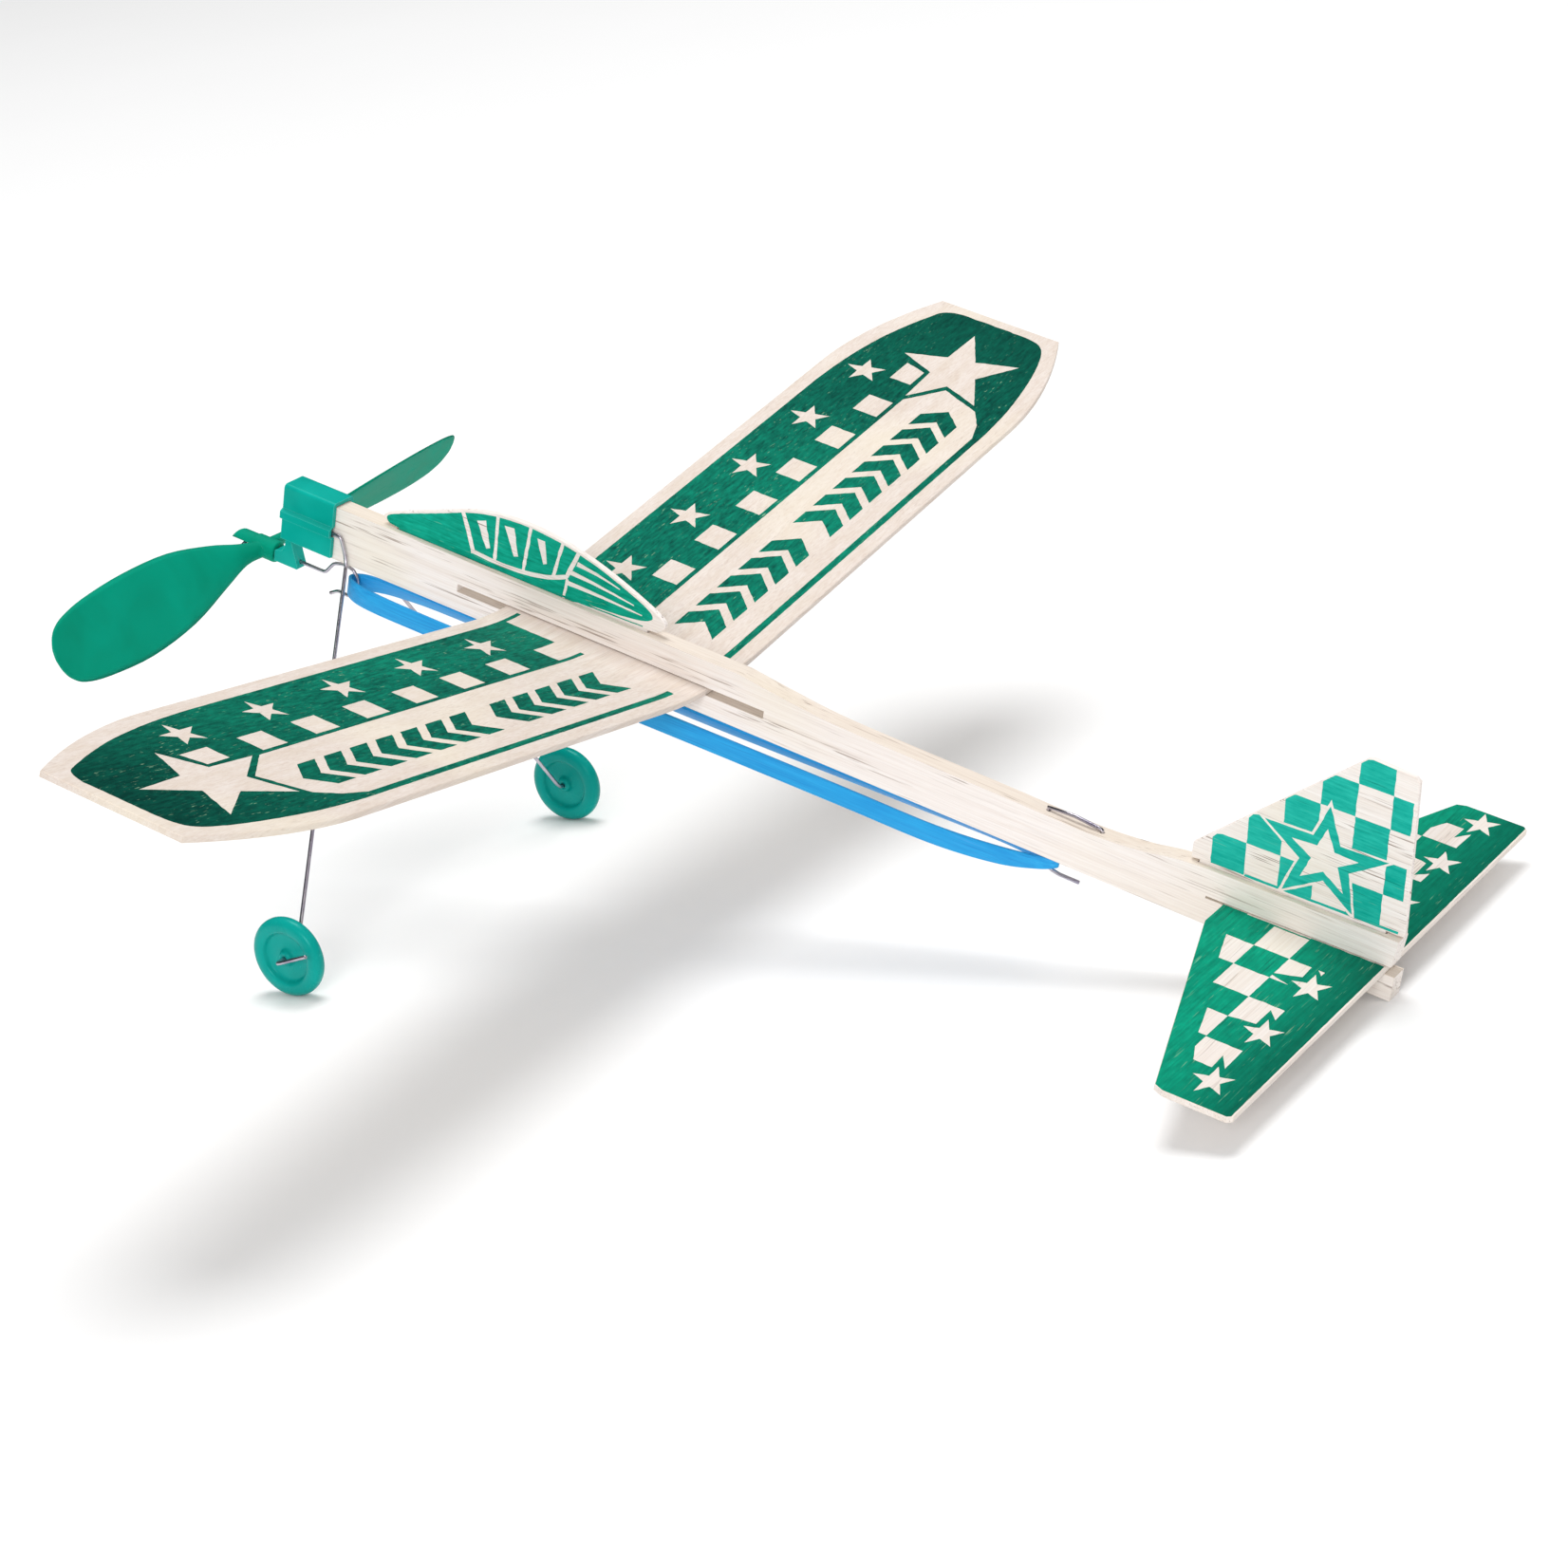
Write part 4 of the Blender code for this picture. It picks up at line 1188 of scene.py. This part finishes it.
def add_piece(name, body, nodes, mesh, materials):
    """A piece drawn in the aircraft's frame, in millimetres, which stands for CAD nodes."""
    mesh.transform(AIRCRAFT @ Matrix.Diagonal((MM, MM, MM, 1)))
    obj = new_object(name, mesh, materials)
    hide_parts(*nodes)
    if body:
        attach(obj, body)
    return obj


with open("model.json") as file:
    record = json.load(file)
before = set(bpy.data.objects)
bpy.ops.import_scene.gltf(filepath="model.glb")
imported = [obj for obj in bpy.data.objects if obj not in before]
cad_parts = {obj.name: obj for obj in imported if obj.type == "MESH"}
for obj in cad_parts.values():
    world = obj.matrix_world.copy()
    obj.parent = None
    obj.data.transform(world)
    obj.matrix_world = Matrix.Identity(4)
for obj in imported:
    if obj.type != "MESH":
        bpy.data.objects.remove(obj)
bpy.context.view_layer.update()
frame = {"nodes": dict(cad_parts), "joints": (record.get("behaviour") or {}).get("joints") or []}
joints = {joint["name"]: joint for joint in frame["joints"]}
AIRCRAFT = aircraft_frame(joints["propeller_spin"])
NOSE_UP = asin(joints["propeller_spin"]["axis"][2])

# Each piece has its own wood and ink colours. They differ partly as real sheets and prints do, and partly
# as painted light: the upright fin and cockpit panel are set lighter, and the wing, which faces up, is set
# darker.
fuselage_wood = balsa(
    "balsa_fuselage",
    "x",
    pale=(0.88, 0.83, 0.80),
    warm=(0.84, 0.77, 0.72),
    flecks=0.75,
    lines=0.28,
    shaded_tops=True,
)
upright_wood = balsa(
    "balsa_upright",
    "x",
    pale=(0.90, 0.85, 0.82),
    warm=(0.85, 0.78, 0.73),
    flecks=0.9,
    lines=0.35,
)
wing_wood = balsa("balsa_wing", "y", flecks=0.16, lines=0.5)
stab_wood = balsa("balsa_stabilizer", "y", pale=(0.81, 0.75, 0.71), warm=(0.76, 0.68, 0.61))
wing_ink = ink(
    "ink_wing",
    "y",
    (0.001, 0.060, 0.045),
    (0.003, 0.250, 0.155),
    scratches=0.55,
    darkening=("Y", WING_SPAN / 2 - 110, WING_SPAN / 2 + 10),
    run=45,
)
stab_ink = ink(
    "ink_stabilizer",
    "y",
    (0.001, 0.18, 0.11),
    (0.003, 0.37, 0.22),
    scratches=0.60,
    darkening=("X", STAB_TE_X + 22, STAB_TE_X),
)
fin_ink = ink("ink_fin", "x", (0.004, 0.34, 0.27), (0.03, 0.52, 0.42), scratches=0.35)
cockpit_ink = ink("ink_cockpit", "x", (0.001, 0.23, 0.15), (0.01, 0.46, 0.32), scratches=0.5, run=120)
prop_plastic = plastic(
    "plastic_propeller",
    (0.001, 0.26, 0.16),
    (0.001, 0.31, 0.20),
    polish=0.52,
    shine=0.07,
)
housing_plastic = plastic("plastic_housing", (0.001, 0.33, 0.27), (0.002, 0.41, 0.34))
wheel_plastic = plastic(
    "plastic_wheel",
    (0.001, 0.27, 0.235),
    (0.002, 0.33, 0.29),
    polish=0.20,
    shine=0.24,
)
wire = steel("steel_wire")
band_rubber = rubber("blue_rubber")

noise.seed_set(STRAY_SEED)
wing_mesh = Sheet(wing_outline(), wing_layers(), "y", wing_place, wing_creases()).mesh("wing_sheet")
add_piece("wing_sheet", "wing", ["wing"], wing_mesh, [wing_wood, wing_ink])
stab_mesh = Sheet(stab_outline(), stab_layers(), "y", stab_place).mesh("stab_sheet")
add_piece("stabilizer_sheet", "airframe", ["stabilizer"], stab_mesh, [stab_wood, stab_ink])
fin_mesh = Sheet(fin_outline(), fin_layers(), "x", upright_place, both_faces=True).mesh("fin_sheet")
add_piece("fin_sheet", "airframe", ["fin"], fin_mesh, [upright_wood, fin_ink])
cockpit = Sheet(cockpit_outline(), cockpit_layers(), "x", upright_place, both_faces=True)
cockpit_mesh = cockpit.mesh("cockpit_sheet")
add_piece(
    "cockpit_sheet",
    "airframe",
    ["cockpit_panel"],
    cockpit_mesh,
    [upright_wood, cockpit_ink],
)
band = add_piece("band", None, ["rubber_band"], band_mesh(), [band_rubber])
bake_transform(band)
dress("fuselage", fuselage_wood, STOCK_EDGE)
dress("nose_housing", housing_plastic, MOULD_EDGE)
dress("propeller", prop_plastic)
for side, node in ((1, "wheel_left"), (-1, "wheel_right")):
    add_piece(f"{node}_disc", node, [node], wheel_mesh(node, side), [wheel_plastic])
dress("propeller_shaft", wire)
dress("rear_hook", wire)
dress("landing_gear", wire)

add_floor()
add_lights()
add_camera()
